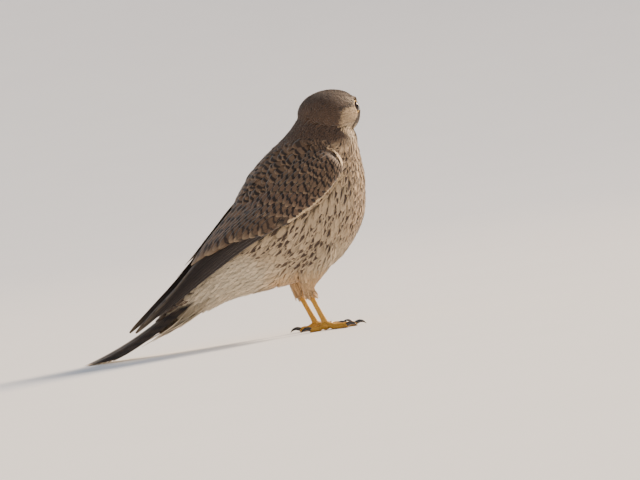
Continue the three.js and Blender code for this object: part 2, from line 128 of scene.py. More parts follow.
# [x, y, z, half length, half width] of level slices, for the left side
LEG = np.array([
    [6, 14, 92, 15, 9], [8, 17, 78, 20, 12], [7, 18.4, 64, 18.5, 11.5],
    [2, 18, 51, 12.5, 8.8], [-3, 17.2, 41.5, 6.6, 5.6], [-4.4, 17, 36.5, 3.9, 3.4],
], float)
SHANK = np.array([
    [-5, 17, 46, 3.4, 2.8], [-4, 16.9, 38, 3.0, 2.4], [2, 16.2, 22, 2.2, 1.9],
    [7.5, 15.5, 8, 2.8, 2.4], [8.2, 15.5, 4.5, 3.0, 2.6],
], float)

HEAD_AXES = np.array([
    [math.cos(HEAD_TURN), -math.sin(HEAD_TURN), 0],
    [math.sin(HEAD_TURN), math.cos(HEAD_TURN), 0],
    [0, 0, 1],
])
# Where the frame has the bird: its right eye is in both
eye_low, eye_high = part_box("eye_right")
EYE_RIGHT = HEAD_CENTRE + HEAD_AXES @ (EYE_PLACE * [1, -1, 1])
PLACE = np.array((eye_low + eye_high) / 2) / MM - EYE_RIGHT


def unit(v):
    return v / np.maximum(np.linalg.norm(v, axis=-1, keepdims=True), 1e-9)


def mix(a, b, t):
    return a + (b - a) * t


def smooth(low, high, x):
    """0 below low, 1 above high, and smooth between them."""
    t = np.clip((x - low) / (high - low), 0, 1)
    return t * t * (3 - 2 * t)


def dots(a, b):
    return (a * b).sum(-1)


def curve(points, t):
    """A smooth line through points, at shares t of the way."""
    points = np.asarray(points, float)
    n = len(points)
    ends = np.vstack([2 * points[0] - points[1], points, 2 * points[-1] - points[-2]])
    at = np.clip(np.asarray(t, float), 0, 1) * (n - 1)
    k = np.minimum(at.astype(int), n - 2)
    w = (at - k)[..., None]
    p0, p1, p2, p3 = (ends[k + i] for i in range(4))
    gaps = ((p0, p1), (p1, p2), (p2, p3))
    d0, d1, d2 = (np.linalg.norm(b - a, axis=-1, keepdims=True) ** 0.5 for a, b in gaps)
    m1 = ((p1 - p0) / d0 - (p2 - p0) / (d0 + d1) + (p2 - p1) / d1) * d1
    m2 = ((p2 - p1) / d1 - (p3 - p1) / (d1 + d2) + (p3 - p2) / d2) * d1
    square = -3 * p1 + 3 * p2 - 2 * m1 - m2
    return p1 + w * m1 + w**2 * square + w**3 * (2 * p1 - 2 * p2 + m1 + m2)


def in_head(points):
    """Points of the head's frame in the bird's."""
    return np.asarray(points) @ HEAD_AXES.T + HEAD_CENTRE


def to_head(points):
    return (np.asarray(points) - HEAD_CENTRE) @ HEAD_AXES


def eye_axis(side):
    """The middle of an eye, and the way it faces."""
    return in_head(EYE_PLACE * [1, side, 1]), (EYE_FACING * [1, side, 1]) @ HEAD_AXES.T


def from_eye(points, side):
    """How far points are out along an eye's axis, and the way to them from it."""
    centre, facing = eye_axis(side)
    out = (points - centre) @ facing
    return out, points - centre - out[..., None] * facing


def ends_of(stations, t):
    """Top point, bottom point and half width of slices at shares t of the way."""
    top = curve(np.stack([stations[:, 0], 0 * stations[:, 0], stations[:, 1]], 1), t)
    low = curve(stations[:, [2, 4, 3]], t)
    width = low[..., 1].copy()
    low = low * [1, 0, 1]
    return top, low, width


def ring(centre, along, across, count, squareness):
    angle = np.arange(count) / count * 2 * math.pi
    c, s = np.cos(angle), np.sin(angle)
    c = np.sign(c) * np.abs(c) ** (2 / squareness)
    s = np.sign(s) * np.abs(s) ** (2 / squareness)
    return centre[:, None] + along[:, None] * c[:, None] + across[:, None] * s[:, None]


def slices(stations, steps, count, grow=0, squareness=2.15):
    """Rings of a body through slices, grown all round."""
    top, low, width = ends_of(stations, np.linspace(0, 1, steps + 1))
    centre = (top + low) / 2
    along = top - centre
    along = unit(along) * (np.linalg.norm(along, axis=1, keepdims=True) + grow)
    across = np.stack([0 * width, width + grow, 0 * width], 1)
    return ring(centre, along, across, count, squareness)


def limb(stations, steps, count, grow=0):
    """Rings of a limb through level slices."""
    t = np.linspace(0, 1, steps + 1)
    line = curve(stations[:, :3], t)
    size = curve(np.pad(stations[:, 3:], ((0, 0), (0, 1))), t) + grow
    return ring(line, size * [1, 0, 0], size * [0, 1, 0], count, 2)


def bar(points, radii, steps, count):
    """Rings of a round bar along points, with a radius at each."""
    t = np.linspace(0, 1, steps + 1)
    line = curve(points, t)
    tangent = unit(np.gradient(line, axis=0))
    size = np.interp(t, np.linspace(0, 1, len(radii)), radii)[:, None]
    side = unit(np.cross([0, 0, 1], tangent))
    return ring(line, np.cross(tangent, side) * size, side * size, count, 2)


def mesh_of(name, points, loops, starts):
    """A mesh object from points in millimetres, face corners and where each face starts."""
    mesh = bpy.data.meshes.new(name)
    mesh.vertices.add(len(points))
    mesh.vertices.foreach_set("co", ((points + PLACE) * MM).astype(np.float32).ravel())
    mesh.loops.add(len(loops))
    mesh.loops.foreach_set("vertex_index", np.asarray(loops, np.int32))
    mesh.polygons.add(len(starts))
    mesh.polygons.foreach_set("loop_start", np.asarray(starts, np.int32))
    mesh.update(calc_edges=True)
    made = bpy.data.objects.new(name, mesh)
    smooth_shaded(made)
    bpy.context.scene.collection.objects.link(made)
    return made


def loft(name, rings):
    """A closed mesh over rings of equal length."""
    steps, count = rings.shape[:2]
    index = np.arange(steps * count).reshape(steps, count)
    turned = np.roll(index, -1, 1)
    faces = np.stack([index[:-1], turned[:-1], turned[1:], index[1:]], -1).reshape(-1, 4)
    caps = index[0][::-1], index[-1]
    if volume(rings) < 0:
        faces = faces[:, ::-1]
        caps = index[0], index[-1][::-1]
    loops = np.concatenate([faces.ravel(), *caps])
    starts = np.concatenate([np.arange(len(faces)) * 4, len(faces) * 4 + np.array([0, count])])
    return mesh_of(name, rings.reshape(-1, 3), loops, starts)


def volume(rings):
    """Positive where the rings turn so that a loft's faces point outwards."""
    middle = rings.mean(1)
    turn = np.cross(rings[:, 0] - middle, rings[:, rings.shape[1] // 4] - middle)
    return float(dots(turn[:-1], middle[:-1] - middle[1:]).sum())


def select(*objects):
    bpy.ops.object.select_all(action="DESELECT")
    for o in objects:
        o.select_set(True)
    bpy.context.view_layer.objects.active = objects[0]


def apply(made, kind, **settings):
    """Adds a modifier and applies it."""
    select(made)
    modifier = made.modifiers.new(kind.title(), kind)
    for key, value in settings.items():
        setattr(modifier, key, value)
    bpy.ops.object.modifier_apply(modifier=modifier.name)


def vectors(rows, field):
    """A vector of each of a mesh's rows, such as the places of its points."""
    values = np.zeros(len(rows) * 3, np.float32)
    rows.foreach_get(field, values)
    return values.reshape(-1, 3).astype(float)


def points_of(made):
    """A mesh's points in the bird's millimetres."""
    return vectors(made.data.vertices, "co") / MM - PLACE


def put_points(made, points):
    made.data.vertices.foreach_set("co", ((points + PLACE) * MM).astype(np.float32).ravel())
    made.data.update()


def smooth_shaded(made):
    made.data.polygons.foreach_set("use_smooth", np.ones(len(made.data.polygons), bool))


def ready_made(name, add, **settings):
    """Adds one of Blender's own shapes, smooth shaded. Returns it and its points."""
    bpy.ops.object.select_all(action="DESELECT")
    add(**settings)
    made = bpy.context.active_object
    made.name = name
    smooth_shaded(made)
    return made, vectors(made.data.vertices, "co")


def wing_face(a, t):
    """The wing's outer face: a is the share of the way to its tip, t that from low edge to high."""
    low, bulge, high = (curve(row, a) for row in (WING_LOW, WING_BULGE, WING_HIGH))
    t = np.asarray(t, float)[..., None]
    return low * (1 - t) ** 2 + bulge * 2 * t * (1 - t) + high * t**2


def wing_place(a, t, height):
    """Points at a height over the wing's face, and its normals."""
    a, t = np.broadcast_arrays(np.asarray(a, float), np.asarray(t, float))
    step = 0.01
    along = wing_face(a + step, t) - wing_face(a - step, t)
    across = wing_face(a, t + step) - wing_face(a, t - step)
    normal = unit(np.cross(across, along))
    normal = np.where(((normal[..., 1] > 0) & (t < 0.7))[..., None], -normal, normal)
    return wing_face(a, t) + normal * np.asarray(height)[..., None], normal


def wing_core(side, shrink):
    """Rings of the flesh and small feathers under the wing's vanes."""
    a = np.linspace(0.0, 0.54, 25)[:, None]
    thick = mix(7.5, 6.2, a / 0.54) - shrink
    t = np.linspace(0.03, 0.97, 16)[None]
    outer = wing_place(a + 0 * t, t + 0 * a, -shrink + 0 * (a + t))[0]
    inner = wing_place(a + 0 * t, t[:, ::-1] + 0 * a, -thick + 0 * t)[0]
    rings = np.concatenate([outer, inner], 1)
    return rings * [1, -side, 1]


def brow(side):
    line = np.array([[19.2, 9.2, 8], [15.2, 14.2, 10.2], [9.2, 18, 10.9], [2.2, 20.4, 9.9]])
    return bar(in_head(line * [1, side, 1]), [0.9, 1.6, 1.7, 0.8], 12, 8)


def fused(name, rings_list, voxel, smoothing):
    """One closed skin round several lofts."""
    parts = [loft(f"{name}_{i}", rings) for i, rings in enumerate(rings_list)]
    select(*parts)
    bpy.ops.object.join()
    made = bpy.context.view_layer.objects.active
    made.name = name
    apply(made, "REMESH", mode="VOXEL", voxel_size=voxel * MM)
    apply(made, "SMOOTH", factor=0.5, iterations=smoothing)
    return made


def flesh(grow):
    """Rings of everything that the plumage covers."""
    return [
        slices(BODY, 90, 64, grow),
        in_head(slices(HEAD, 60, 56, grow, 2.1)),
        *(limb(LEG * [1, s, 1, 1, 1], 40, 32, grow) for s in SIDES.values()),
        *(brow(s) for s in SIDES.values()),
        *(wing_core(s, 0.4 - grow) for s in SIDES.values()),
    ]


class Surface:
    """The outer face of the plumage, for setting feathers on."""

    def __init__(self, made):
        self.points = points_of(made)
        self.normals = vectors(made.data.vertex_normals, "vector")
        mesh = made.data
        mesh.calc_loop_triangles()
        faces = np.zeros(len(mesh.loop_triangles) * 3, np.int32)
        mesh.loop_triangles.foreach_get("vertices", faces)
        self.faces = faces.reshape(-1, 3)
        self.tree = BVHTree.FromPolygons(self.points.tolist(), self.faces.tolist())

    def nearest(self, points):
        """The closest places on it and the smooth normals there."""
        shape = points.shape
        flat = points.reshape(-1, 3)
        found = [self.tree.find_nearest(p) for p in flat.tolist()]
        place = np.array([f[0] for f in found])
        which = np.array([f[2] for f in found])
        normal = unit(self.normals[self.faces[which]].mean(1))
        return place.reshape(shape), normal.reshape(shape)

    def draws(self, count, rng):
        """Random places on it, and the normals there."""
        a, b, c = (self.points[self.faces[:, i]] for i in range(3))
        area = np.linalg.norm(np.cross(b - a, c - a), axis=1)
        i = rng.choice(len(area), count, p=area / area.sum())
        u, v = rng.random((2, count, 1))
        u, v = np.where(u + v > 1, 1 - u, u), np.where(u + v > 1, 1 - v, v)
        places = a[i] + u * (b[i] - a[i]) + v * (c[i] - a[i])
        return places, unit(self.normals[self.faces[i]].mean(1))


def spread(places, spacing):
    """Which of the places to keep so that none is nearer to another than its spacing."""
    cell = float(spacing.max())
    keys = np.floor(places / cell).astype(int).tolist()
    flat = places.tolist()
    grid = {}
    kept = []
    around = list(itertools.product((-1, 0, 1), repeat=3))
    for index, (x, y, z) in enumerate(keys):
        r = spacing[index] ** 2
        p = flat[index]
        if not any(
            (p[0] - q[0]) ** 2 + (p[1] - q[1]) ** 2 + (p[2] - q[2]) ** 2 < r
            for i, j, k in around for q in grid.get((x + i, y + j, z + k), ())
        ):
            grid.setdefault((x, y, z), []).append(p)
            kept.append(index)
    return np.array(kept)


# Where a point is on the bird
SPINE = np.linspace(0, 1, 241)
SPINE_TOP, SPINE_LOW, SPINE_WIDTH = ends_of(BODY, SPINE)
WING_A, WING_T = np.repeat(np.linspace(0, 1, 81), 25), np.tile(np.linspace(0, 1, 25), 81)
WING_POINTS = wing_face(WING_A, WING_T)


def in_lots(find, points):
    """What find gives for all the points, asked for 2000 at a time to save memory."""
    lots = [find(points[first : first + 2000, None]) for first in range(0, len(points), 2000)]
    return [np.concatenate(found) for found in zip(*lots)]


def on_body(points):
    """Share u of the way along the spine, and share q from the back to the belly."""
    span = (SPINE_LOW - SPINE_TOP)[:, ::2]
    across = unit(np.stack([-span[:, 1], span[:, 0]], 1))

    def find(lot):
        away = lot[..., ::2] - SPINE_TOP[:, ::2]
        share = dots(away, span) / dots(span, span)
        past_end = np.maximum(0, np.maximum(-share - 0.1, share - 1.1))
        off = np.abs(dots(away, across)) + 60 * past_end
        best = off.argmin(1)
        return SPINE[best], share[np.arange(len(best)), best]

    return in_lots(find, points)


def on_wing(points):
    """The nearest place (a, t) on a wing's face, and how far off it is."""
    def find(lot):
        away = ((lot - WING_POINTS) ** 2).sum(-1)
        best = away.argmin(1)
        return WING_A[best], WING_T[best], np.sqrt(away[np.arange(len(best)), best])

    return in_lots(find, np.stack([points[:, 0], -np.abs(points[:, 1]), points[:, 2]], 1))


def leg_share(points):
    """1 on the feathered legs below the belly, and 0 on the body."""
    return smooth(66, 52, points[:, 2]) * smooth(-34, -24, points[:, 0])


BILL_ROOT = np.array([23.2, 0, -1.3])


def lie(points, normals):
    """The way that feathers lie at points of the surface."""
    u, _ = on_body(points)
    u1, u0 = np.clip(u + 0.02, 0, 1), np.clip(u - 0.02, 0, 1)
    way = unit(sum(ends_of(BODY, u1)[:2]) / 2 - sum(ends_of(BODY, u0)[:2]) / 2)
    # on the head they lie away from the bill
    local = to_head(points)
    from_bill = unit(local - BILL_ROOT) @ HEAD_AXES.T
    on_head = smooth(160, 182, points[:, 2]) * smooth(46, 30, np.linalg.norm(local, axis=1))
    way = mix(way, from_bill, on_head[:, None])
    legs = leg_share(points)[:, None]
    down = mix(np.array([-0.25, 0, -1.0]), np.array([0.4, 0, -1.0]), smooth(54, 40, points[:, 2:]))
    way = mix(way, down, legs)
    a, t, far = on_wing(points)
    wing_way = wing_face(np.clip(a + 0.03, 0, 1), t) - wing_face(np.clip(a - 0.03, 0, 1), t)
    wing_way = unit(wing_way) * np.where(points[:, 1:2] > 0, [[1, -1, 1]], [[1, 1, 1]])
    near = smooth(9, 4, far)[:, None]
    way = mix(way, wing_way, near * 0.8)
    return unit(way - normals * dots(way, normals)[:, None])


def linear(code):
    """An sRGB hex colour as linear red, green and blue."""
    parts = np.array([int(code[i : i + 2], 16) for i in (1, 3, 5)]) / 255
    return np.where(parts <= 0.04045, parts / 12.92, ((parts + 0.055) / 1.055) ** 2.4)


# How each tract is feathered: length, width and spacing in millimetres, how far the tips lift,
# cross bars to a feather and their strength, width of the dark streak along the shaft,
# strength of the pale edge, raggedness of the tip, share of the feathers that are marked,
# ground colour and colour of the marks
# The crown's, nape's, back's and wing's ground colours are darker and greyer than a female's rufous in
# life, and the underparts' a little darker: partly painted shade
TRACTS = {
    "crown": (6.6, 3.3, 1.45, 0.24, 0, 0, 0.24, 0.2, 0.25, 0.85, "#4f3d31", "#241c17"),
    "cheek": (5.0, 2.2, 1.1, 0.2, 0, 0, 0.26, 0.15, 0.3, 0.75, "#c0a886", "#6b5440"),
    "throat": (6.6, 2.8, 1.4, 0.28, 0, 0, 0, 0.2, 0.35, 0, "#d8c8ac", "#8d7459"),
    "malar": (4.6, 1.9, 1.0, 0.24, 0, 0, 0.7, 0, 0.3, 1, "#3a2c23", "#211914"),
    "lores": (2.6, 0.7, 0.62, 0.3, 0, 0, 0.2, 0, 0.4, 1, "#8f7a61", "#4d3f34"),
    "nape": (9.5, 4.8, 2.1, 0.34, 0, 0, 0.22, 0.25, 0.25, 0.85, "#513f32", "#241c17"),
    "mantle": (18.0, 11.0, 4.9, 0.55, 2.3, 1, 0, 0.35, 0.14, 1, "#63503f", "#221a16"),
    "rump": (17.0, 10.0, 4.8, 0.5, 2.2, 0.7, 0.05, 0.25, 0.25, 0.8, "#6d5c4c", "#332a24"),
    "breast": (14.0, 6.6, 3.3, 0.42, 0, 0, 0.42, 0.2, 0.4, 0.85, "#b39a7b", "#3a2c24"),
    "flank": (16.0, 8.2, 4.1, 0.45, 0, 0, 0.44, 0.2, 0.4, 0.55, "#b39f82", "#44362c"),
    "belly": (15.0, 6.4, 3.4, 0.5, 0, 0, 0.2, 0.2, 0.55, 0.22, "#bfae91", "#5f4d3d"),
    "vent": (17.0, 6.4, 3.4, 0.5, 0, 0, 0, 0.15, 0.55, 0, "#cbbca2", "#8d7a63"),
    "thigh": (13.0, 3.8, 2.0, 0.5, 0, 0, 0.12, 0.2, 0.5, 0.4, "#bf9f76", "#6a523c"),
    "marginal": (7.5, 5.0, 2.2, 0.3, 1.2, 0.8, 0, 0.3, 0.2, 0.9, "#63503f", "#221a16"),
    "edge": (6.5, 3.2, 1.6, 0.4, 0, 0, 0.06, 0.2, 0.25, 0.4, "#cfb690", "#6d5641"),
}
TRACT_NAMES = list(TRACTS)
SIZES = np.array([row[:10] for row in TRACTS.values()], float)
GROUNDS = np.array([linear(row[10]) for row in TRACTS.values()])
DARKS = np.array([linear(row[11]) for row in TRACTS.values()])


def off_line(p, start, end):
    """How far points of a plane are from a line between two others."""
    start, end = np.array(start, float), np.array(end, float)
    way = end - start
    share = np.clip(((p - start) @ way) / (way @ way), 0, 1)
    return np.linalg.norm(p - start - share[:, None] * way, axis=1)


def tract_weights(points):
    """The share of each tract at points of the surface."""
    u, q = on_body(points)
    local = to_head(points)
    side, flat = np.abs(local[:, 1]), local[:, [0, 2]]
    head = smooth(39, 33, np.linalg.norm(local, axis=1)) * smooth(163, 171, points[:, 2])
    w = {name: np.zeros(len(points)) for name in TRACT_NAMES}
    # head
    x, z = flat.T
    cheek_reach = (np.abs((x - 1.5) / 12.5) ** 3 + np.abs((z + 6.5) / 9.8) ** 3) ** (1 / 3)
    w["cheek"] = smooth(1.12, 0.85, cheek_reach) * smooth(8, 11, side)
    w["throat"] = smooth(-8.5, -12, z) * smooth(-9, 1, x)
    moustache = smooth(3.0, 1.5, off_line(flat, (14.4, -3.8), (6.6, -17.8))) * smooth(6, 10, side)
    eye_line = smooth(1.7, 0.8, off_line(flat, (3, 4.8), (-10, 3.6))) * smooth(8, 12, side)
    w["malar"] = np.maximum(moustache, 0.6 * eye_line)
    w["lores"] = smooth(14.6, 16.6, x) * smooth(9.8, 7.4, z) * smooth(-9, -7, z)
    brow_line = smooth(2.2, 0.6, off_line(flat, (17, 8.6), (3, 10.8))) * smooth(6, 9, side)
    w["throat"] = np.maximum(w["throat"], 0.28 * brow_line)
    for name in ("throat", "cheek", "lores", "malar"):
        w[name] *= head
    w["cheek"] *= 1 - w["malar"]
    w["throat"] *= 1 - 0.8 * w["malar"]
    w["crown"] = head * (1 - np.clip(w["cheek"] + w["throat"] + w["lores"] + w["malar"], 0, 1))
    rest = 1 - head
    # body
    legs = leg_share(points)
    a, t, far = on_wing(points)
    over_wing = smooth(7, 3, far) * smooth(0.02, 0.05, t)
    edge_at = 0.49 + 0.13 * smooth(0.3, 0.12, u) - 0.3 * smooth(0.4, 0.54, u)
    edge_at -= 0.25 * smooth(0.72, 0.86, u)
    reach = np.abs(points[:, 1]) / np.maximum(np.interp(u, SPINE, SPINE_WIDTH), 1)
    near_spine = smooth(0.85, 0.65, reach) * smooth(0.5, 0.38, q)
    over = np.maximum(smooth(0.07, -0.07, q - edge_at), near_spine)
    below = 1 - over
    w["nape"] = rest * over * smooth(0.26, 0.16, u)
    w["mantle"] = rest * over * smooth(0.16, 0.26, u) * smooth(0.66, 0.6, u)
    w["rump"] = rest * over * smooth(0.6, 0.66, u)
    body = rest * below * (1 - legs)
    vent = smooth(0.6, 0.68, u)
    lower = smooth(0.44, 0.54, u)
    belly = lower * (1 - vent)
    breast = (1 - lower) * (1 - vent)
    flank = smooth(0.62, 0.8, reach) * smooth(0.27, 0.36, u) * smooth(0.92, 0.78, q)
    throat = smooth(0.1, 0.03, u) * smooth(0.66, 0.8, q)
    w["throat"] += body * throat
    w["breast"] = body * breast * (1 - 0.8 * flank) * (1 - throat)
    w["flank"] = body * flank * (1 - vent)
    w["belly"] = body * belly * (1 - flank)
    w["vent"] = body * vent
    w["thigh"] = rest * below * legs
    at_front = smooth(6, 3, far) * smooth(0.5, 0.4, a)
    over_wing = np.maximum(over_wing, at_front * smooth(0.09, 0.05, t))
    for name in TRACT_NAMES:
        w[name] *= 1 - over_wing
    w["edge"] = at_front * smooth(0.05, 0.02, t)
    w["marginal"] = over_wing * (smooth(0.72, 0.6, t) + smooth(0.14, 0.08, a)) * (1 - w["edge"])
    w["mantle"] += over_wing * smooth(0.6, 0.72, t) * smooth(0.08, 0.14, a)
    table = np.stack([w[name] for name in TRACT_NAMES], 1) + 1e-6
    return table / table.sum(1, keepdims=True)


def unwrap(points):
    """Each point's place on a flat unwrap of the skin: the body as a tube along the spine,
    the head as one round its own length, and the legs and wings beside them."""
    u, q = on_body(points)
    reach = points[:, 1] / np.maximum(np.interp(u, SPINE, SPINE_WIDTH), 1)
    round_body = np.arctan2(reach, 1 - 2 * q) / (2 * math.pi) + 0.5
    place = np.stack([0.01 + 0.58 * u, 0.01 + 0.98 * round_body], 1)
    local = to_head(points)
    round_head = np.arctan2(local[:, 1], local[:, 2]) / (2 * math.pi) + 0.5
    forward = np.clip((local[:, 0] + 34) / 58, 0, 1)
    head = np.stack([0.62 + 0.24 * forward, 0.01 + 0.98 * round_head], 1)
    on_head = (np.linalg.norm(local, axis=1) < 38) & (points[:, 2] > 166)
    place[on_head] = head[on_head]
    legs = leg_share(points) > 0.5
    turn = np.arctan2(np.abs(points[:, 1]) - 17, points[:, 0] - 3) / (2 * math.pi) + 0.5
    half = np.where(points[:, 1] > 0, 0.25, 0.0)
    height = np.clip((points[:, 2] - 34) / 36, 0, 1)
    leg = np.stack([0.88 + 0.11 * turn, 0.01 + half + 0.23 * height], 1)
    place[legs] = leg[legs]
    a, t, far = on_wing(points)
    wing = np.stack([0.88 + 0.11 * t, 0.51 + half + 0.23 * a], 1)
    place[far < 4] = wing[far < 4]
    return place


PATCH = 0.003  # how wide one feather's place on the unwrap is
# What the vanes' material reads: a point's place on its feather, the feather's bars and
# streak, its edge, seed and shape, and its two colours
FIELDS = ("vane", "marks", "rim", "ground", "dark")


def blades(
    centre, up, side, half, camber, thick, columns, look, root, ridge=0, patch=(PATCH, PATCH)
):
    """Feathers as thin closed blades.
    centre, up and side are (feathers, rows, 3); half is (feathers, rows, 2), to each side."""
    count, rows = centre.shape[:2]
    columns = np.asarray(columns, float)
    width = np.where(columns < 0, half[..., :1], half[..., 1:]) * np.abs(columns)
    across = np.sign(columns) * width
    arch = camber * (1 - columns**2)
    body = np.sin(np.linspace(0.12, 0.97, rows) * math.pi)[None, :, None] ** 0.5
    lift = arch * half.mean(-1)[..., None] + np.where(np.abs(columns) < 0.01, ridge, 0) * body
    across, lift = across[..., None], lift[..., None]
    top = centre[:, :, None] + side[:, :, None] * across + up[:, :, None] * lift
    low = centre + up * (arch.max(-1) * half.mean(-1) * 0.6 - thick)[..., None]
    points = np.concatenate([top, low[:, :, None]], 2)
    ring_size = len(columns) + 1
    s = np.broadcast_to(np.linspace(0, 1, rows)[None, :, None], (count, rows, ring_size)).copy()
    if "shares" in look:
        s[:] = look["shares"][None, :, None]
    c = np.broadcast_to(np.append(columns, 0.0), (count, rows, ring_size))
    length = np.linalg.norm(np.diff(centre, axis=1), axis=2).sum(1)
    vane = np.stack([c, s, np.broadcast_to(length[:, None, None], s.shape)], -1)
    on_map = np.stack([c * 0.45, s - 0.5], -1) * np.array(patch)
    on_map[:, :, -1, 1] -= 0.1 * patch[1]
    on_map = root[:, None, None] + on_map
    index = np.arange(count * rows * ring_size).reshape(count, rows, ring_size)
    nxt = np.roll(index, -1, 2)
    quads = np.stack([index[:, :-1], nxt[:, :-1], nxt[:, 1:], index[:, 1:]], -1).reshape(-1, 4)
    caps = np.concatenate([index[:, 0, ::-1], index[:, -1]])
    return {
        "points": points.reshape(-1, 3),
        "quads": quads,
        "caps": caps,
        "vane": vane.reshape(-1, 3),
        "map": on_map.reshape(-1, 2),
        **{key: np.repeat(look[key], rows * ring_size, 0) for key in FIELDS[1:]},
    }


def coat_piece(name, groups, *nodes):
    """One mesh of many feathers."""
    loops, starts, offset, corner = [], [], 0, 0
    for g in groups:
        for faces in (g["quads"], g["caps"]):
            size = faces.shape[1]
            loops.append((faces + offset).ravel())
            starts.append(corner + np.arange(len(faces)) * size)
            corner += faces.size
        offset += len(g["points"])
    joined = {key: np.concatenate([g[key] for g in groups]) for key in ("points", "map", *FIELDS)}
    loops = np.concatenate(loops)
    made = mesh_of(name, joined["points"], loops, np.concatenate(starts))
    layer = made.data.uv_layers.new(name="OFBake")
    layer.data.foreach_set("uv", joined["map"][loops].astype(np.float32).ravel())
    for key in FIELDS:
        store(made, key.title(), joined[key])
    placed(made, [VANES], "plumage", *nodes)


def store(made, name, values):
    """Keeps a number or a vector for each point of a mesh."""
    values = np.asarray(values, np.float32)
    kind, field = ("FLOAT", "value") if values.ndim == 1 else ("FLOAT_VECTOR", "vector")
    made.data.attributes.new(name, kind, "POINT").data.foreach_set(field, values.ravel())


def placed(made, materials, slot, *nodes):
    """Gives a finished piece its materials and its place in the frame."""
    for one in materials:
        made.data.materials.append(one)
    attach(made, "root")
    if nodes:
        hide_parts(*nodes)


def outline(s, root, full, tip):
    """Half width of a feather's web at shares s of its length, 1 at its widest."""
    rise = mix(root, 1, smooth(0, full, s))
    end = np.sqrt(np.clip(1 - ((s - tip) / (1 - tip)).clip(0) ** 2, 0, 1))
    return rise * np.maximum(end, 0.1)


# Rows of points along a small feather, as shares of its length
ROWS = np.array([0, 0.15, 0.32, 0.48, 0.6, 0.7, 0.79, 0.87, 0.93, 0.975, 1])


def eye_clear(points, side):
    """Pushes points of the coat off the lids, along the face."""
    out, off = from_eye(points, side)
    far = np.linalg.norm(off, axis=-1)
    near = (out > 0) & (far < EYE_CLEAR) & (far > 1e-6)
    return np.where(near[..., None], points - off + unit(off) * EYE_CLEAR, points)


def left_bare(points):
    """Where the body's small feathers are left out: under the wings' rows, at the bill and
    eyes, and round the shanks."""
    a, t, far = on_wing(points)
    bare = (far < 6) & (t > 0.05) & (t < 0.7) & (a > 0.05)
    x, y, z = to_head(points).T
    bare |= (x > 19.2) & (np.abs(y) < 4.6) & (z > -8) & (z < 3.4)
    for side in SIDES.values():
        out, off = from_eye(points, side)
        bare |= (out > 0) & (np.linalg.norm(off, axis=1) < 6.4)
    return bare | (points[:, 2] < 38)


def body_coat(surface):
    """Sets small feathers over the surface, and says of each where it is and how it looks."""
    rng = np.random.default_rng(5)
    places, normals = surface.draws(DRAWS, rng)
    keep = ~left_bare(places)
    places, normals = places[keep], normals[keep]
    weights = tract_weights(places)
    sizes = weights @ SIZES
    kept = spread(places, sizes[:, 2])
    places, normals, weights, sizes = places[kept], normals[kept], weights[kept], sizes[kept]
    count = len(places)
    draw = rng.random(count)[:, None]
    tract = (weights.cumsum(1) < draw).sum(1).clip(0, len(TRACT_NAMES) - 1)
    bars, strength, streak, edge, _, share = SIZES[tract, 4:].T
    length = sizes[:, 0] * rng.uniform(0.88, 1.12, count)
    width = sizes[:, 1] * rng.uniform(0.88, 1.1, count)
    # walk each feather over the surface along the lie
    lift = sizes[:, 3] * rng.uniform(0.7, 1.25, count)
    at, normal = places.copy(), normals.copy()
    way = lie(at, normal)
    swerve = rng.normal(0, 0.09, count)
    way = unit(way + np.cross(normal, way) * swerve[:, None])
    line, ups, ways = [], [], []
    last = 0.0
    for s in ROWS:
        step = (s - last) * length
        at = at + way * step[:, None]
        flat, new_normal = surface.nearest(at)
        # past the end of a leg or the tail's root, a feather hangs free
        hold = np.exp(-((np.linalg.norm(at - flat, axis=1) / 1.6) ** 2))[:, None]
        above_shank = np.maximum(smooth(35, 44, at[:, 2:]), at[:, :1] < -40)
        hold = hold * smooth(-132, -120, at[:, :1]) * above_shank
        normal = unit(mix(normal, new_normal, 0.75 * hold))
        way = unit(way - normal * dots(way, normal)[:, None])
        way = unit(mix(way, lie(flat, normal), 0.35 * hold))
        at = mix(at, flat, 0.8 * hold)
        line.append(at.copy())
        ups.append(normal.copy())
        ways.append(way.copy())
        last = s
    line, ups, ways = (np.stack(x, 1) for x in (line, ups, ways))
    sunk = COAT * (1 - ROWS) ** 6
    height = lift[:, None] * ROWS**2 - sunk - 0.085 * length[:, None] * (1 - ROWS) ** 1.3
    line = line + ups * height[..., None]
    side = unit(np.cross(ways, ups))
    side = unit(side + ups * rng.normal(0, 0.06, count)[:, None, None])
    ragged = sizes[:, 8, None, None] * rng.random((count, len(ROWS), 2))
    uneven = 1 - ragged * smooth(0.3, 0.8, ROWS)[None, :, None]
    half = width[:, None, None] / 2 * outline(ROWS, 0.35, 0.45, 0.5)[None, :, None] * uneven
    for eye_side in SIDES.values():
        line = eye_clear(line, eye_side)
    tone = rng.normal(1, 0.07, count)[:, None]
    marked = rng.random(count) < share
    streak = streak * marked * rng.uniform(0.6, 1.3, count)
    return {
        "line": line,
        "up": unit(np.cross(side, ways)),
        "side": side,
        "half": half,
        "root": unwrap(places),
        "places": places,
        "tract": tract,
        "ground": weights @ GROUNDS * tone,
        "dark": weights @ DARKS * tone,
        "marks": np.stack([bars, strength * marked, streak], 1),
        "rim": np.stack([edge, 0.8 + 0.14 * rng.random(count), sizes[:, 1] / sizes[:, 0]], 1),
    }


def taken(coat, chosen):
    """Feathers of the coat that are chosen by their numbers."""
    some = {key: values[chosen] for key, values in coat.items()}
    return blades(
        some["line"], some["up"], some["side"], some["half"], 0.11, 0.12,
        (-1, -0.55, 0, 0.55, 1), {**some, "shares": ROWS}, some["root"],
    )


def between(values, shares):
    """Values at shares of each feather's length, and straight on past its tip."""
    k = np.clip(np.searchsorted(ROWS, shares) - 1, 0, len(ROWS) - 2)
    step = ((shares - ROWS[k]) / (ROWS[k + 1] - ROWS[k]))[..., None]
    row = np.arange(len(values))[:, None]
    return values[row, k] * (1 - step) + values[row, k + 1] * step


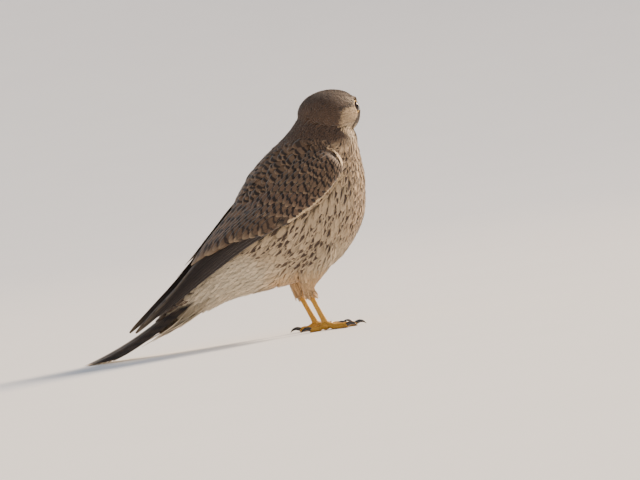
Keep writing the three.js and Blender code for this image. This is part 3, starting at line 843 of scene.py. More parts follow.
def loose_barbs(coat, chosen, each, seed):
    """Barbs that have come apart from their feathers' webs, along their edges and tips."""
    rng = np.random.default_rng(seed)
    some = {key: values[np.repeat(chosen, each)] for key, values in coat.items()}
    count = len(some["line"])
    start = rng.uniform(0.35, 0.62, count)
    end = rng.uniform(0.86, 1.07, count)
    shares = start[:, None] + (end - start)[:, None] * np.array([0, 0.4, 0.75, 1])
    line, up, side = (between(some[key], shares) for key in ("line", "up", "side"))
    widest = some["half"].max((1, 2))
    out = rng.uniform(0.05, 0.62, count)[:, None]
    out = out + rng.uniform(0.25, 0.75, count)[:, None] * (shares - shares[:, :1])
    way = rng.choice([-1, 1], count)[:, None]
    line = line + unit(side) * (way * out * widest[:, None])[..., None]
    over = 0.1 + rng.uniform(0.03, 0.2, count)[:, None] * np.array([0.2, 0.6, 1, 1])
    line = line + unit(up) * over[..., None]
    thick = np.clip(widest * 0.085, 0.11, 0.3)
    half = thick[:, None, None] * np.array([0.7, 1, 0.7, 0.12])[:, None] * np.ones((count, 4, 2))
    streak = some["marks"][:, 2:] * np.sin(np.clip(shares.mean(1) - 0.1, 0, 1) * math.pi)[:, None]
    darker = smooth(0.06, -0.02, 0.9 * out.mean(1)[:, None] - streak)
    ground = mix(some["ground"], some["dark"], darker) * rng.normal(1.02, 0.09, count)[:, None]
    look = {
        "ground": ground, "dark": some["dark"], "marks": some["marks"] * 0,
        "rim": some["rim"] * [0, 1, 1], "shares": np.array([0, 0.4, 0.75, 0.9]),
    }
    return blades(line, unit(up), unit(side), half, 0.2, 0.07, (-1, 0, 1), look, some["root"])


def marks_look(
    count, tract, rng, ground=None, dark=None, bars=None, strength=None, streak=None, edge=None,
    ratio=0.4,
):
    """How a row of feathers is coloured, from a tract with changes."""
    row = TRACTS[tract]
    pick = lambda given, own: own if given is None else given
    tone = rng.normal(1, 0.06, count)[:, None]
    base = linear(pick(ground, row[10])) * tone
    ink = linear(pick(dark, row[11])) * tone
    marks = np.stack([
        np.full(count, pick(bars, row[4])) * rng.uniform(0.95, 1.05, count),
        np.full(count, pick(strength, row[5])),
        np.full(count, pick(streak, row[6])),
    ], 1)
    edges = np.full(count, pick(edge, row[7]))
    rim = np.stack([edges, 0.8 + 0.14 * rng.random(count), np.full(count, ratio)], 1)
    return {"ground": base, "dark": ink, "marks": marks, "rim": rim}


def wing_feathers(
    side, seed, tips, roots, heights, width, look, rows, tip, patch_at, patch,
    full=0.4, slant=0.16, webs=(1, 1), ridge=0.12, jitter=0.006, bow=1.0,
):
    """Feathers in a row on a wing. tips, roots and heights hold a value for each feather."""
    rng = np.random.default_rng(seed)
    count = len(tips)
    s = 1 - (1 - np.linspace(0, 1, rows)) ** 1.35
    tips, roots = np.array(tips, float), np.array(roots, float)
    tips[:, 0] += rng.normal(0, jitter, count)
    a = mix(roots[:, :1], tips[:, :1], s)
    t = mix(roots[:, 1:], tips[:, 1:], s**bow)
    low, high = (np.broadcast_to(h, count)[:, None] for h in heights)
    line, up = wing_place(a, t, mix(low, high, s**0.8))
    flip = np.array([1, -side, 1])
    line, up = line * flip, up * flip
    ways = unit(np.gradient(line, axis=1))
    across = unit(np.cross(ways, up))
    turn = (slant + rng.normal(0, 0.02, count))[:, None, None] * -side
    across = unit(across + up * turn)
    up = unit(np.cross(across, ways))
    width = np.broadcast_to(width, count)[:, None, None]
    web = np.array(webs if side < 0 else webs[::-1], float)
    half = width / 2 * outline(s, 0.45, full, tip)[None, :, None] * web
    half = half * (1 - 0.05 * rng.random((count, rows, 2)))
    root = np.array(patch_at) + np.arange(count)[:, None] * [patch[0] * 1.15, 0]
    columns = (-1, -0.72, -0.4, -0.06, 0, 0.06, 0.4, 0.72, 1)
    return blades(
        line, up, across, half, 0.13, 0.22, columns, dict(look, shares=s),
        root + np.array(patch) / 2, ridge, patch,
    )


# The share of the way to the tip and from low edge to high, of each primary's tip and root
PRIMARIES = np.array([
    [0.935, 0.12, 0.34, 0.05], [0.995, 0.3, 0.35, 0.08], [0.985, 0.46, 0.36, 0.12],
    [0.945, 0.6, 0.37, 0.17], [0.895, 0.7, 0.39, 0.24], [0.85, 0.76, 0.4, 0.31],
    [0.81, 0.8, 0.42, 0.38],
])
# The rows of coverts, from the wing's middle to its bend: the place of the first tip, last
# tip, first root and last root, count, width, ground, dark, bars, strength, heights at root
# and tip
# These ground colours are darker and greyer than the wing's rufous in life: partly painted shade
COVERTS = (
    (0.44, 0.03, 0.52, 0.16, 0.2, 0.08, 0.27, 0.2, 6, 8.0, "#4a3c32", "#1f1916", 4.2, 0.9, -1.6, 0.1),
    (0.4, 0.06, 0.6, 0.8, 0.22, 0.1, 0.37, 0.8, 11, 9.5, "#5f4c3d", "#221a16", 5.6, 1, -1.5, 1.3),
    (0.33, 0.06, 0.52, 0.8, 0.19, 0.09, 0.32, 0.8, 12, 8.8, "#614d3e", "#221a16", 4.6, 1, -1.4, 1.6),
    (0.27, 0.06, 0.45, 0.8, 0.14, 0.09, 0.28, 0.8, 12, 8.2, "#624e3e", "#221a16", 4.2, 1, -1.3, 1.8),
    (0.215, 0.06, 0.385, 0.8, 0.1, 0.09, 0.24, 0.8, 13, 7.6, "#63503f", "#221a16", 3.8, 1, -1.2, 1.9),
    (0.165, 0.055, 0.325, 0.8, 0.065, 0.09, 0.2, 0.8, 13, 7.2, "#64503f", "#221a16", 3.4, 1, -1.1, 1.9),
    (0.12, 0.05, 0.27, 0.8, 0.03, 0.09, 0.16, 0.8, 13, 6.8, "#64503f", "#221a16", 3.2, 1, -1.0, 1.9),
    (0.08, 0.05, 0.215, 0.8, 0.0, 0.09, 0.11, 0.8, 12, 6.4, "#64503f", "#221a16", 3.2, 1, -0.9, 1.8),
)


def wing_groups(side):
    """The feathers of one wing: flight feathers, and coverts."""
    seed = 40 + side
    rng = np.random.default_rng(seed)
    flight, coverts = [], []
    k = np.linspace(0, 1, 8)
    spec = curve(PRIMARIES, k)
    # the flight feathers' colours here are darker than in life: partly painted shade
    look = marks_look(8, "mantle", rng, "#2e2724", "#1d1917", 0, 0, 0.05, 0.5, 0.06)
    flight.append(wing_feathers(
        side, seed, spec[:, :2], spec[:, 2:], (-5.0 + k * 5.2, -5.0 + k * 5.2), 11.5, look, 30, 0.4,
        (0.01, 0.01), (0.05, 0.3), full=0.25, slant=0.03, webs=(0.55, 1.25), ridge=0.25,
        jitter=0.002, bow=0.8,
    ))
    look = marks_look(7, "mantle", rng, "#594738", "#221a16", 7.5, 0.9, 0, 0.8, 0.13)
    flight.append(wing_feathers(
        side, seed + 2, np.linspace((0.55, 0.1), (0.7, 0.55), 7),
        np.linspace((0.3, 0.16), (0.42, 0.56), 7),
        (np.linspace(-1.6, -0.8, 7), np.linspace(0.2, 1.4, 7)), 12.5, look, 22, 0.7,
        (0.01, 0.34), (0.05, 0.2), webs=(0.8, 1.1), ridge=0.2,
    ))
    look = marks_look(4, "mantle", rng, "#66513f", "#231b17", 5.5, 0.9, 0, 0.9, 0.16)
    flight.append(wing_feathers(
        side, seed + 3, np.linspace((0.72, 0.62), (0.765, 0.9), 4),
        np.linspace((0.4, 0.64), (0.42, 0.9), 4),
        (np.linspace(-1.4, -0.6, 4), np.linspace(1.4, 2.2, 4)), 14.5, look, 22, 0.7,
        (0.45, 0.34), (0.06, 0.2), ridge=0.2,
    ))
    for i, row in enumerate(COVERTS):
        tip0, tip1, root0, root1 = (row[j : j + 2] for j in (0, 2, 4, 6))
        count, width, ground, dark, bars, strength, low, high = row[8:]
        look = marks_look(count, "mantle", rng, ground, dark, bars, strength, 0, 0.5, 0.3)
        # the last go under the mantle
        under = smooth(0.7, 1, np.linspace(0, 1, count)) * (tip1[1] > 0.5)
        coverts.append(wing_feathers(
            side, seed + 5 + i, np.linspace(tip0, tip1, count), np.linspace(root0, root1, count),
            (low - 0.6 * under, high - 1.3 * under), width, look, 12, 0.55,
            (0.01, 0.56 + 0.053 * i), (0.03, 0.045), slant=0.15, jitter=0.008,
        ))
    # the small pale feathers of the wing's front edge: over its bend, and then along the edge
    look = marks_look(17, "edge", rng, edge=0)
    coverts.append(wing_feathers(
        side, seed + 20, np.linspace((0.046, 0.95), (0.05, 0.08), 17),
        np.linspace((0, 0.97), (0.008, 0.1), 17),
        (-0.6, 1.2), 3.4, look, 8, 0.55, (0.01, 0.985), (PATCH, PATCH), slant=0.1, jitter=0.003,
    ))
    for i, (count, lift) in enumerate(((28, 0.8), (27, 1.1))):
        start = np.linspace(0.03, 0.38, count)
        roots, tips = (
            np.stack([at, 0.01 + 0.03 * smooth(0.15, 0.03, at)], 1) for at in (start, start + 0.028)
        )
        look = marks_look(count, "edge", rng, edge=0)
        coverts.append(wing_feathers(
            side, seed + 21 + i, tips, roots, (-0.9, lift), 2.9, look, 8, 0.55,
            (0.1 + 0.1 * i, 0.985), (PATCH, PATCH), slant=0, jitter=0.002,
        ))
    return flight, coverts


def tail_place(u, degrees, height):
    """Points at a height over the tail's middle line, fanned from it, and the way up there."""
    u = np.asarray(u, float)[..., None]
    p0, p1, p2, p3 = TAIL_LINE
    p = (1 - u) ** 3 * p0 + 3 * (1 - u) ** 2 * u * p1 + 3 * (1 - u) * u**2 * p2 + u**3 * p3
    way = unit((1 - u) ** 2 * (p1 - p0) + 2 * (1 - u) * u * (p2 - p1) + u**2 * (p3 - p2))
    reach = np.linalg.norm(p - p0, axis=-1)
    y = reach * np.tan(np.radians(degrees))
    up = np.stack([way[..., 1], 0 * y, -way[..., 0]], -1)
    up = np.where(up[..., 2:] < 0, -up, up)
    return np.stack([p[..., 0], y, p[..., 1]], -1) + up * np.asarray(height)[..., None], up


def on_floor(points):
    """Eases points that would be below the floor on to it."""
    z = points[:, 2]
    eased = FLOOR_EASE * np.exp(np.minimum(z - FLOOR_EASE, 0) / FLOOR_EASE)
    points[:, 2] = np.where(z < FLOOR_EASE, eased, z)
    return points


def tail_groups():
    """Tail feathers, six to a side, and the coverts over and under their roots."""
    rng = np.random.default_rng(77)
    groups, coverts = [], []
    rows = 40
    s = 1 - (1 - np.linspace(0, 1, rows)) ** 1.25
    for k in range(5, -1, -1):
        for side in (-1, 1):
            degrees = side * (1.7 + k * 0.85) + rng.normal(0, 0.05)
            end = 1 - k * 0.022
            u = mix(0.3, end, s)[None]
            height = (mix(2.6, 1.55, s) - k * mix(0.95, 0.82, s) + (0.1 if side > 0 else 0))[None]
            line, up = tail_place(u, degrees, height)
            ways = unit(np.gradient(line, axis=1))
            across = unit(unit(np.cross(ways, up)) + up * side * -0.05)
            web = np.array([0.72, 1.1]) if side < 0 else np.array([1.1, 0.72])
            half = (17 - k * 0.5) / 2 * outline(s, 0.5, 0.3, 0.8)[None, :, None] * web
            worn = 1 - 0.12 * rng.random((1, rows, 2)) * smooth(0.9, 1, s)[None, :, None]
            # the tail's ground colour is darker and greyer than its rufous in life: partly painted shade
            look = marks_look(1, "mantle", rng, "#4a3b30", "#1d1816", 9.0, 0.9, 0, 0.12, 0.06)
            look["shares"] = s
            at = np.array([[0.02 + 0.15 * k, 0.02 + (0.49 if side > 0 else 0)]]) + [0.06, 0.225]
            group = blades(
                line, unit(np.cross(across, ways)), across, half * worn, 0.07, 0.24,
                (-1, -0.8, -0.55, -0.3, -0.05, 0, 0.05, 0.3, 0.55, 0.8, 1), look, at, 0.28, (0.12, 0.44),
            )
            # the broad dark band before the tip, and the pale tip
            share = group["vane"][:, 1]
            band = (smooth(0.86, 0.885, share) * smooth(0.972, 0.955, share))[:, None]
            end = smooth(0.96, 0.975, share)[:, None]
            group["ground"] = mix(mix(group["ground"], linear("#211b18"), band), linear("#b39c7e"), end)
            group["dark"] = mix(group["dark"], linear("#a08a6e"), end)
            groups.append(group)
    rows = 16
    s = 1 - (1 - np.linspace(0, 1, rows)) ** 1.3
    for row, (start, end, low, high, tip_height, count, way, width) in enumerate((
        (0.16, 0.4, 3.0, 8.5, 4.5, 6, 1, 11), (0.1, 0.33, 6.0, 11.0, 8.0, 7, 1, 11),
        (0.42, 0.72, 5.5, 9.0, 7.0, 5, -1, 10), (0.36, 0.66, 9.0, 12.0, 8.5, 6, -1, 11),
        (0.28, 0.6, 11.5, 14.5, 11.0, 7, -1, 11), (0.2, 0.53, 12.0, 15.5, 13.5, 7, -1, 11),
    )):
        for i in range(count):
            share = i / (count - 1) * 2 - 1
            degrees = share * (8.5 if way > 0 else 7.5) + rng.normal(0, 0.5)
            last = end - abs(share) * 0.05 + rng.normal(0, 0.015)
            u = mix(start, last, s)[None]
            profile = mix(mix(low, high, smooth(0, 0.55, s)), tip_height, smooth(0.5, 1, s))
            fall = way * profile[None] * (1 - 0.3 * share**2)
            line, up = tail_place(u, degrees, fall)
            up = up * way
            ways = unit(np.gradient(line, axis=1))
            across = unit(np.cross(ways, up) + up * (rng.normal(0, 0.08) - 0.25 * share * way))
            half = width / 2 * outline(s, 0.5, 0.45, 0.35)[None, :, None] * np.ones((1, rows, 2))
            half = half * (1 - 0.3 * rng.random((1, rows, 2)) * smooth(0.4, 1, s)[None, :, None])
            look = marks_look(1, "rump" if way > 0 else "vent", rng, ratio=0.3)
            look["shares"] = s
            at = np.array([[0.04 + 0.13 * i, 0.09 + 0.165 * row]])
            coverts.append(blades(
                line, unit(np.cross(across, ways)), across, half, 0.12, 0.16,
                (-1, -0.6, -0.06, 0, 0.06, 0.6, 1), look, at, 0.1, (0.1, 0.14),
            ))
    for g in groups + coverts:
        g["points"] = on_floor(g["points"])
    return groups, coverts


def feed(tree, made, values):
    """Links or sets the inputs of a shader node, by name or number."""
    for key, value in values.items():
        if isinstance(value, bpy.types.NodeSocket):
            tree.links.new(value, made.inputs[key])
        else:
            made.inputs[key].default_value = value


def node(tree, kind, *inputs, out=0, **settings):
    """Adds a shader node with its settings, and links or sets its inputs, given in order or
    by name in a dict. Returns one of its outputs."""
    made = tree.nodes.new("ShaderNode" + kind)
    for key, value in settings.items():
        setattr(made, key, value)
    by_name = inputs and isinstance(inputs[0], dict)
    feed(tree, made, inputs[0] if by_name else dict(enumerate(inputs)))
    return made.outputs[out]


def material(name, rough, specular):
    """A new material, a function that adds nodes to it, and one that feeds its shader."""
    made = bpy.data.materials.new(name)
    made.use_nodes = True
    shade = partial(feed, made.node_tree, made.node_tree.nodes["Principled BSDF"])
    shade({"Roughness": rough, "Specular IOR Level": specular})
    return made, partial(node, made.node_tree), shade


def rgba(code):
    return (*linear(code), 1.0)


BARB_PITCH = 0.9  # about twice that of real barbs, which are 0.4 mm apart, so that they show


def feather_vanes():
    """Keratin vanes: matte, with a little sheen, bars and streaks that follow each feather,
    and barbs that run out from the shaft."""
    made, n, shade = material("Feather vanes", 0.62, 0.26)
    read = {name: n("Attribute", attribute_name=name, out=1) for name in ("Vane", "Marks", "Rim")}
    ground = n("Attribute", attribute_name="Ground", out=0)
    dark = n("Attribute", attribute_name="Dark", out=0)
    c, s, length = (n("SeparateXYZ", read["Vane"], out=i) for i in range(3))
    bars, bar_share, streak_width = (n("SeparateXYZ", read["Marks"], out=i) for i in range(3))
    pale_edge, seed, ratio = (n("SeparateXYZ", read["Rim"], out=i) for i in range(3))
    place = n("TexCoord", out=3)
    mottle = n("TexNoise", {"Vector": place, "Scale": 320.0, "Detail": 3.0})
    fine = n("TexNoise", {"Vector": place, "Scale": 1500.0, "Detail": 2.0})
    out = n("Math", c, operation="ABSOLUTE")
    # cross bars, a little bent and uneven, one to each whole step of the phase
    uneven = n("Math", mottle, 0.5, operation="SUBTRACT")
    uneven = n("Math", uneven, 0.1, operation="MULTIPLY")
    bent = n("Math", out, 0.06, uneven, operation="MULTIPLY_ADD")
    phase = n("Math", n("Math", s, bent, operation="ADD"), bars, seed, operation="MULTIPLY_ADD")
    wave = n("Math", n("Math", phase, -2 * math.pi, operation="MULTIPLY"), operation="SINE")
    bar = n("MapRange", wave, 0.25, 0.65, interpolation_type="SMOOTHSTEP")
    bar = n("Math", bar, bar_share, operation="MULTIPLY")
    # a dark streak along the shaft, widest past the middle
    rise = n("MapRange", s, 0.1, 1.04)
    swell = n("Math", n("Math", rise, math.pi, operation="MULTIPLY"), operation="SINE")
    reach = n("Math", swell, streak_width, operation="MULTIPLY")
    reach = n("Math", out, -0.9, reach, operation="MULTIPLY_ADD")
    reach = n("Math", reach, uneven, operation="ADD")
    streak = n("MapRange", reach, -0.03, 0.1, interpolation_type="SMOOTHSTEP")
    has_streak = n("MapRange", streak_width, 0.02, 0.06)
    streak = n("Math", streak, has_streak, operation="MULTIPLY")
    mask = n("Math", bar, streak, operation="MAXIMUM")
    colour = n("Mix", {0: mask, 6: ground, 7: dark}, data_type="RGBA", out=2)
    # the pale worn edge
    sides = n("Math", n("Math", out, 5.0, operation="POWER"), 0.45, operation="MULTIPLY")
    rim = n("Math", sides, n("Math", s, 9.0, operation="POWER"), operation="MAXIMUM")
    rim = n("MapRange", rim, 0.35, 1.0)
    rim = n("Math", rim, pale_edge, operation="MULTIPLY")
    rim = n("Math", rim, 0.6, operation="MULTIPLY", use_clamp=True)
    colour = n("Mix", {0: rim, 6: colour, 7: rgba("#bca586")}, data_type="RGBA", out=2)
    # the shaft
    shaft = n("MapRange", out, 0.09, 0.03, 0.0, 0.22)
    colour = n("Mix", {0: shaft, 6: colour, 7: dark}, data_type="RGBA", out=2)
    # barbs
    run = n("Math", out, ratio, operation="MULTIPLY")
    run = n("Math", run, -0.6, s, operation="MULTIPLY_ADD")
    run = n("Math", run, length, operation="MULTIPLY")
    run = n("Math", run, 2 * math.pi / BARB_PITCH, operation="MULTIPLY")
    barbs = n("Math", fine, 1.4, n("Math", run, operation="SINE"), operation="MULTIPLY_ADD")
    tone = n("Math", mottle, 0.34, 0.79, operation="MULTIPLY_ADD")
    tone = n("Math", barbs, 0.035, tone, operation="MULTIPLY_ADD")
    grey = n("CombineXYZ", tone, tone, tone)
    colour = n("Mix", {0: 1.0, 6: colour, 7: grey}, data_type="RGBA", blend_type="MULTIPLY", out=2)
    shade({
        "Base Color": colour,
        "Roughness": n("Math", fine, 0.2, 0.54, operation="MULTIPLY_ADD"),
        "Normal": n("Bump", {"Height": barbs, "Strength": 0.12, "Distance": 0.0001}),
        "Sheen Weight": 0.22,
        "Sheen Roughness": 0.45,
    })
    return made


def down_and_painted_shade():
    """Down close to the skin: soft, matte and broken up, in the colour of the feathers over it
    darkened and mixed with a dark brown, partly the down's own colour and partly painted shade,
    so that the gaps between them stay dark and quiet."""
    made, n, shade = material("Down on skin", 0.88, 0.15)
    ground = n("Attribute", attribute_name="Ground")
    place = n("TexCoord", out=3)
    down = n("TexNoise", {"Vector": place, "Scale": 700.0, "Detail": 4.0, "Roughness": 0.7})
    share = n("MapRange", down, 0.3, 0.72)
    shade({
        "Base Color": n("Mix", {0: share, 6: rgba("#43372e"), 7: ground}, data_type="RGBA", out=2),
        "Normal": n("Bump", {"Height": down, "Strength": 0.6, "Distance": 0.0005}),
    })
    return made


def bare_skin(name, pale, deep, rough, pebble):
    """Bare waxy skin, smooth and a little moist, with fine pebbles and deeper colour in the
    grooves between them, partly the skin's own and partly painted shade. An attribute paints more
    shade in the hollows between a piece's raised scales and knobs. The pebbles are pebble
    millimetres wide."""
    made, n, shade = material(name, rough, 0.4)
    place = n("TexCoord", out=3)
    pebbles = n("TexVoronoi", {"Vector": place, "Scale": 1000 / pebble}, feature="DISTANCE_TO_EDGE")
    raised = n("MapRange", pebbles, 0.0, 0.12, interpolation_type="SMOOTHSTEP")
    wash = n("TexNoise", {"Vector": place, "Scale": 220.0, "Detail": 3.0})
    # painted shade, deeper in the piece's own hollows
    depth = n("Attribute", attribute_name="GrooveShade", out=2)
    share = n("Math", raised, n("MapRange", wash, 0.25, 0.75, 0.7, 1.0), operation="MULTIPLY")
    share = n("Math", share, depth, operation="SUBTRACT", use_clamp=True)
    shade({
        "Base Color": n("Mix", {0: share, 6: rgba(deep), 7: rgba(pale)}, data_type="RGBA", out=2),
        "Roughness": n("Math", wash, 0.2, rough - 0.1, operation="MULTIPLY_ADD"),
        "Normal": n("Bump", {"Height": raised, "Strength": 0.35, "Distance": 0.00008}),
        "Subsurface Weight": 0.12,
        "Subsurface Radius": (0.0012, 0.0006, 0.0003),
    })
    return made


def horn(name, base, tip, rough):
    """Horn: hard, half glossy, with faint growth lines, darker towards the tip. The attribute
    Tip is 0 at the root and 1 at the tip."""
    made, n, shade = material(name, rough, 0.5)
    along = n("Attribute", attribute_name="Tip", out=2)
    wash = n("TexNoise", {"Vector": n("TexCoord", out=3), "Scale": 420.0, "Detail": 4.0})
    lines = n("Math", wash, 6.0, operation="MULTIPLY")
    lines = n("Math", along, 46.0, lines, operation="MULTIPLY_ADD")
    lines = n("Math", lines, operation="SINE")
    share = n("Math", along, 0.12, operation="SUBTRACT")
    share = n("Math", wash, 0.24, share, operation="MULTIPLY_ADD")
    share = n("MapRange", share, 0.1, 0.9, interpolation_type="SMOOTHSTEP")
    share = n("Math", lines, 0.03, share, operation="MULTIPLY_ADD", use_clamp=True)
    shade({
        "Base Color": n("Mix", {0: share, 6: rgba(base), 7: rgba(tip)}, data_type="RGBA", out=2),
        "Roughness": n("Math", wash, 0.16, rough - 0.08, operation="MULTIPLY_ADD"),
        "Normal": n("Bump", {"Height": lines, "Strength": 0.12, "Distance": 0.00005}),
        "Coat Weight": 0.2,
    })
    return made


def wet_eye():
    """A wet dark eye: black pupil in a very dark brown iris with faint rays, under a clear
    glossy cornea. The attribute Radial is 0 at the pupil's middle and 1 at the lids."""
    made, n, shade = material("Cornea over brown iris", 0.05, 0.25)
    radial = n("Attribute", attribute_name="Radial", out=2)
    rays = n("TexNoise", {"Vector": n("TexCoord", out=3), "Scale": 1900.0, "Detail": 2.0})
    iris = n("Mix", {0: rays, 6: rgba("#140a06"), 7: rgba("#301b10")}, data_type="RGBA", out=2)
    edge = n("MapRange", radial, 0.86, 1.0)
    iris = n("Mix", {0: edge, 6: iris, 7: rgba("#0d0805")}, data_type="RGBA", out=2)
    pupil = n("MapRange", radial, 0.58, 0.63, interpolation_type="SMOOTHSTEP")
    colour = n("Mix", {0: pupil, 6: rgba("#040303"), 7: iris}, data_type="RGBA", out=2)
    shade({"Base Color": colour, "IOR": 1.376, "Coat Weight": 0.3, "Coat Roughness": 0.02})
    return made


VANES = feather_vanes()
DOWN_AND_SHADE = down_and_painted_shade()
CERE = bare_skin("Cere and lid skin", "#cfa53f", "#b08731", 0.42, 0.5)
SCUTES = bare_skin("Scaled leg skin", "#d2a038", "#94691f", 0.45, 0.9)
BILL_HORN = horn("Bill horn", "#7d8792", "#17181b", 0.32)
CLAW_HORN = horn("Claw horn", "#2b2a2b", "#0d0d0e", 0.28)
EYE = wet_eye()


# The plumage's outer face, and the skin inside it
surface_mesh = fused("surface", flesh(0), 1.3, 8)
surface = Surface(surface_mesh)
bpy.data.objects.remove(surface_mesh)
skin = fused("skin", flesh(-COAT), 1.5, 6)
at = points_of(skin)
for side in SIDES.values():
    # pressed in round the eyes
    out, off = from_eye(at, side)
    radial = np.linalg.norm(off, axis=1)
    limit = 2.0 + 1.2 * np.maximum(0, radial - 5.6)
    press = (out > limit) & (radial < 9)
    at[press] -= ((out - limit)[:, None] * eye_axis(side)[1])[press]
put_points(skin, at)
# the feathers' ground colours at three quarters: painted shade for the gaps between them
store(skin, "Ground", tract_weights(at) @ GROUNDS * 0.75)
placed(skin, [DOWN_AND_SHADE], "plumage", "head", "neck", "torso", "leg_left", "leg_right")


coat = body_coat(surface)
tract = np.array(TRACT_NAMES)[coat["tract"]]
x, y, z = coat["places"].T
of_head = np.isin(tract, ("crown", "cheek", "throat", "malar", "lores"))
at_head = of_head & (z > 160)
at_back = np.isin(tract, ("nape", "mantle", "rump", "marginal"))
at_breast = (of_head & ~at_head) | (tract == "breast")
under = ~(at_head | at_back | at_breast)
groups = {
    "head_left": at_head & (y > 0),
    "head_right": at_head & (y <= 0),
    "back": at_back,
    "breast": at_breast,
    "belly": under & (x > -20),
    "vent": under & (x <= -20),
}
for name, chosen in groups.items():
    coat_piece(f"coat_{name}", [taken(coat, np.flatnonzero(chosen))])
# barred feathers keep their webs closed, so the back has few loose barbs
groups["breast"] = at_breast | (at_back & (SIZES[coat["tract"], 4] == 0))
for name, each in (("head_left", 4), ("head_right", 4), ("breast", 4), ("belly", 5), ("vent", 5)):
    barbs = loose_barbs(coat, np.flatnonzero(groups[name]), each, 31 + each)
    coat_piece(f"loose_barbs_{name}", [barbs])

for name, side in SIDES.items():
    flight, coverts = wing_groups(side)
    coat_piece(f"flight_feathers_{name}", flight, f"wing_{name}")
    coat_piece(f"wing_coverts_{name}", coverts)
feathers, coverts = tail_groups()
coat_piece("tail_feathers", feathers, "tail")
coat_piece("tail_coverts", coverts)

# Eyes, and the bare ring of the lids
for name, side in SIDES.items():
    centre, facing = eye_axis(side)
    turn = np.array(Vector(facing).to_track_quat("Z", "Y").to_matrix()).T
    ball, local = ready_made(
        f"eyeball_{name}", bpy.ops.mesh.primitive_uv_sphere_add, segments=48, ring_count=32, radius=1
    )
    radial = np.hypot(local[:, 0], local[:, 1])
    store(ball, "Radial", np.where(local[:, 2] > 0, radial / 0.82, 2))
    local *= (EYE_RADIUS * (0.955 + 0.04 * smooth(0.75, 0.2, radial) * (local[:, 2] > 0)))[:, None]
    put_points(ball, local @ turn + centre)
    placed(ball, [EYE], "eye", f"eye_{name}")

    lid, local = ready_made(
        f"lids_{name}", bpy.ops.mesh.primitive_torus_add, major_segments=96, minor_segments=20,
        major_radius=5.3, minor_radius=0.5,
    )
    angle = np.arctan2(local[:, 1], local[:, 0])
    radius = np.hypot(local[:, 0], local[:, 1])
    beads = 0.09 * np.sin(angle * 26) * np.sin((radius - 4.4) * 3.5)
    local[:, 2] += beads
    # deeper colour in the dips between the lids' beads: painted shade
    store(lid, "GrooveShade", np.clip(0.35 - beads * 3, 0, 1) * 0.4)
    put_points(lid, local @ turn + centre + facing * EYE_RADIUS * 0.56)
    placed(lid, [CERE], "scale")


def bill_piece(part, stations, cere_end):
    """Half of the bill: horn, with the waxy cere round its base as far as cere_end."""
    local = slices(stations, 72, 56, 0, 2.0)
    if part == "upper":
        x, z = local[..., 0], local[..., 2]
        # the cere swells a little over the horn, and the cutting edge has its tooth
        swell = 0.3 * smooth(23.9, 23.2, x) * smooth(16.2, 19.2, x)
        middle = local.mean(1, keepdims=True)
        local = local + unit(local - middle) * swell[..., None]
        tooth = np.exp(-(((x - 27.4) / 0.8) ** 2)) * smooth(-4, -5, z)
        local[..., 2] -= 0.7 * tooth
        for side in SIDES.values():
            hole = np.linalg.norm(local - [22.5, side * 5.4, 0.7], axis=-1)
            dip = 0.9 * smooth(1.15, 0.6, hole) - 0.8 * smooth(0.4, 0.15, hole)
            local[..., 1] -= side * dip * (side * local[..., 1] > 2)
    made = loft(f"bill_{part}_horn", in_head(local))
    x, z = local[..., 0].ravel(), local[..., 2].ravel()
    store(made, "Tip", smooth(21.2, 31.2, x - np.minimum(z, 0) * 0.3))
    store(made, "GrooveShade", 0 * x)
    placed(made, [BILL_HORN, CERE], "horn", f"bill_{part}")
    for polygon in made.data.polygons:
        if x[list(polygon.vertices)].mean() < cere_end:
            polygon.material_index = 1


bill_piece("upper", UPPER_BILL, 23.5)
bill_piece("lower", LOWER_BILL, 21)

# Legs, toes and claws. Each toe's length, and the way it points in degrees out from ahead
TOES = ((21, -24), (28, 6), (21, 38), (15, 176))
HOOK = ((-1, 2.6), (2.6, 3.6), (6, 2.9), (8.4, 0.9))  # a claw's line past its toe, and its height


def toe_line(length, degrees, side):
    """The middle line of a toe, the way it points and its end on the floor."""
    a = math.radians(degrees)
    heading = np.array([math.cos(a), side * math.sin(a), 0])
    start = np.array([FOOT_PLACE[0], side * FOOT_PLACE[1], 0])
    shares = ((-0.02, 6), (0.22, 3.8), (0.48, 2), (0.72, 2.3), (1, 1.7))
    line = [start + heading * length * share + [0, 0, z] for share, z in shares]
    return line, heading, start + heading * length


def scaled(rings, pitch, across, depth):
    """Raises scales on a bar: plates across its top, and small round ones elsewhere. Also
    returns how low each point lies between them, for painted shade in the grooves.
    """
    steps, count = rings.shape[:2]
    middle = rings.mean(1, keepdims=True)
    run = np.linalg.norm(np.diff(middle[:, 0], axis=0), axis=1).cumsum()
    run = np.concatenate([[0], run])[:, None]
    angle = np.arange(count)[None] / count
    radius = np.linalg.norm(rings - middle, axis=2)
    top = smooth(across, across * 0.6, np.abs(np.mod(angle + 0.5, 1) - 0.5))
    plate = smooth(1.0, 0.72, np.abs(np.mod(run / pitch, 1) - 0.5) * 2)
    row = np.round(run / pitch * 1.6)
    u = np.mod(run / pitch * 1.6 + 0.5, 1) - 0.5
    around = np.maximum(np.round(2 * math.pi * radius.mean() / (pitch * 0.75)), 6)
    w = np.mod(angle * around + 0.5 * np.mod(row, 2), 1) - 0.5
    pebble = smooth(0.56, 0.3, np.hypot(u, w))
    raised = mix(pebble, plate, top)
    return rings + unit(rings - middle) * (depth * (raised - 0.6))[..., None], 1 - raised


def scaled_bar(name, rings, pitch, across):
    """A bar of scaled skin that stays above the floor."""
    rings, groove_shade = scaled(rings, pitch, across, 0.3)
    rings[..., 2] = np.maximum(rings[..., 2], 0)
    made = loft(name, rings)
    # painted shade in the grooves between the scales
    store(made, "GrooveShade", groove_shade.ravel() * 0.6)
    return made


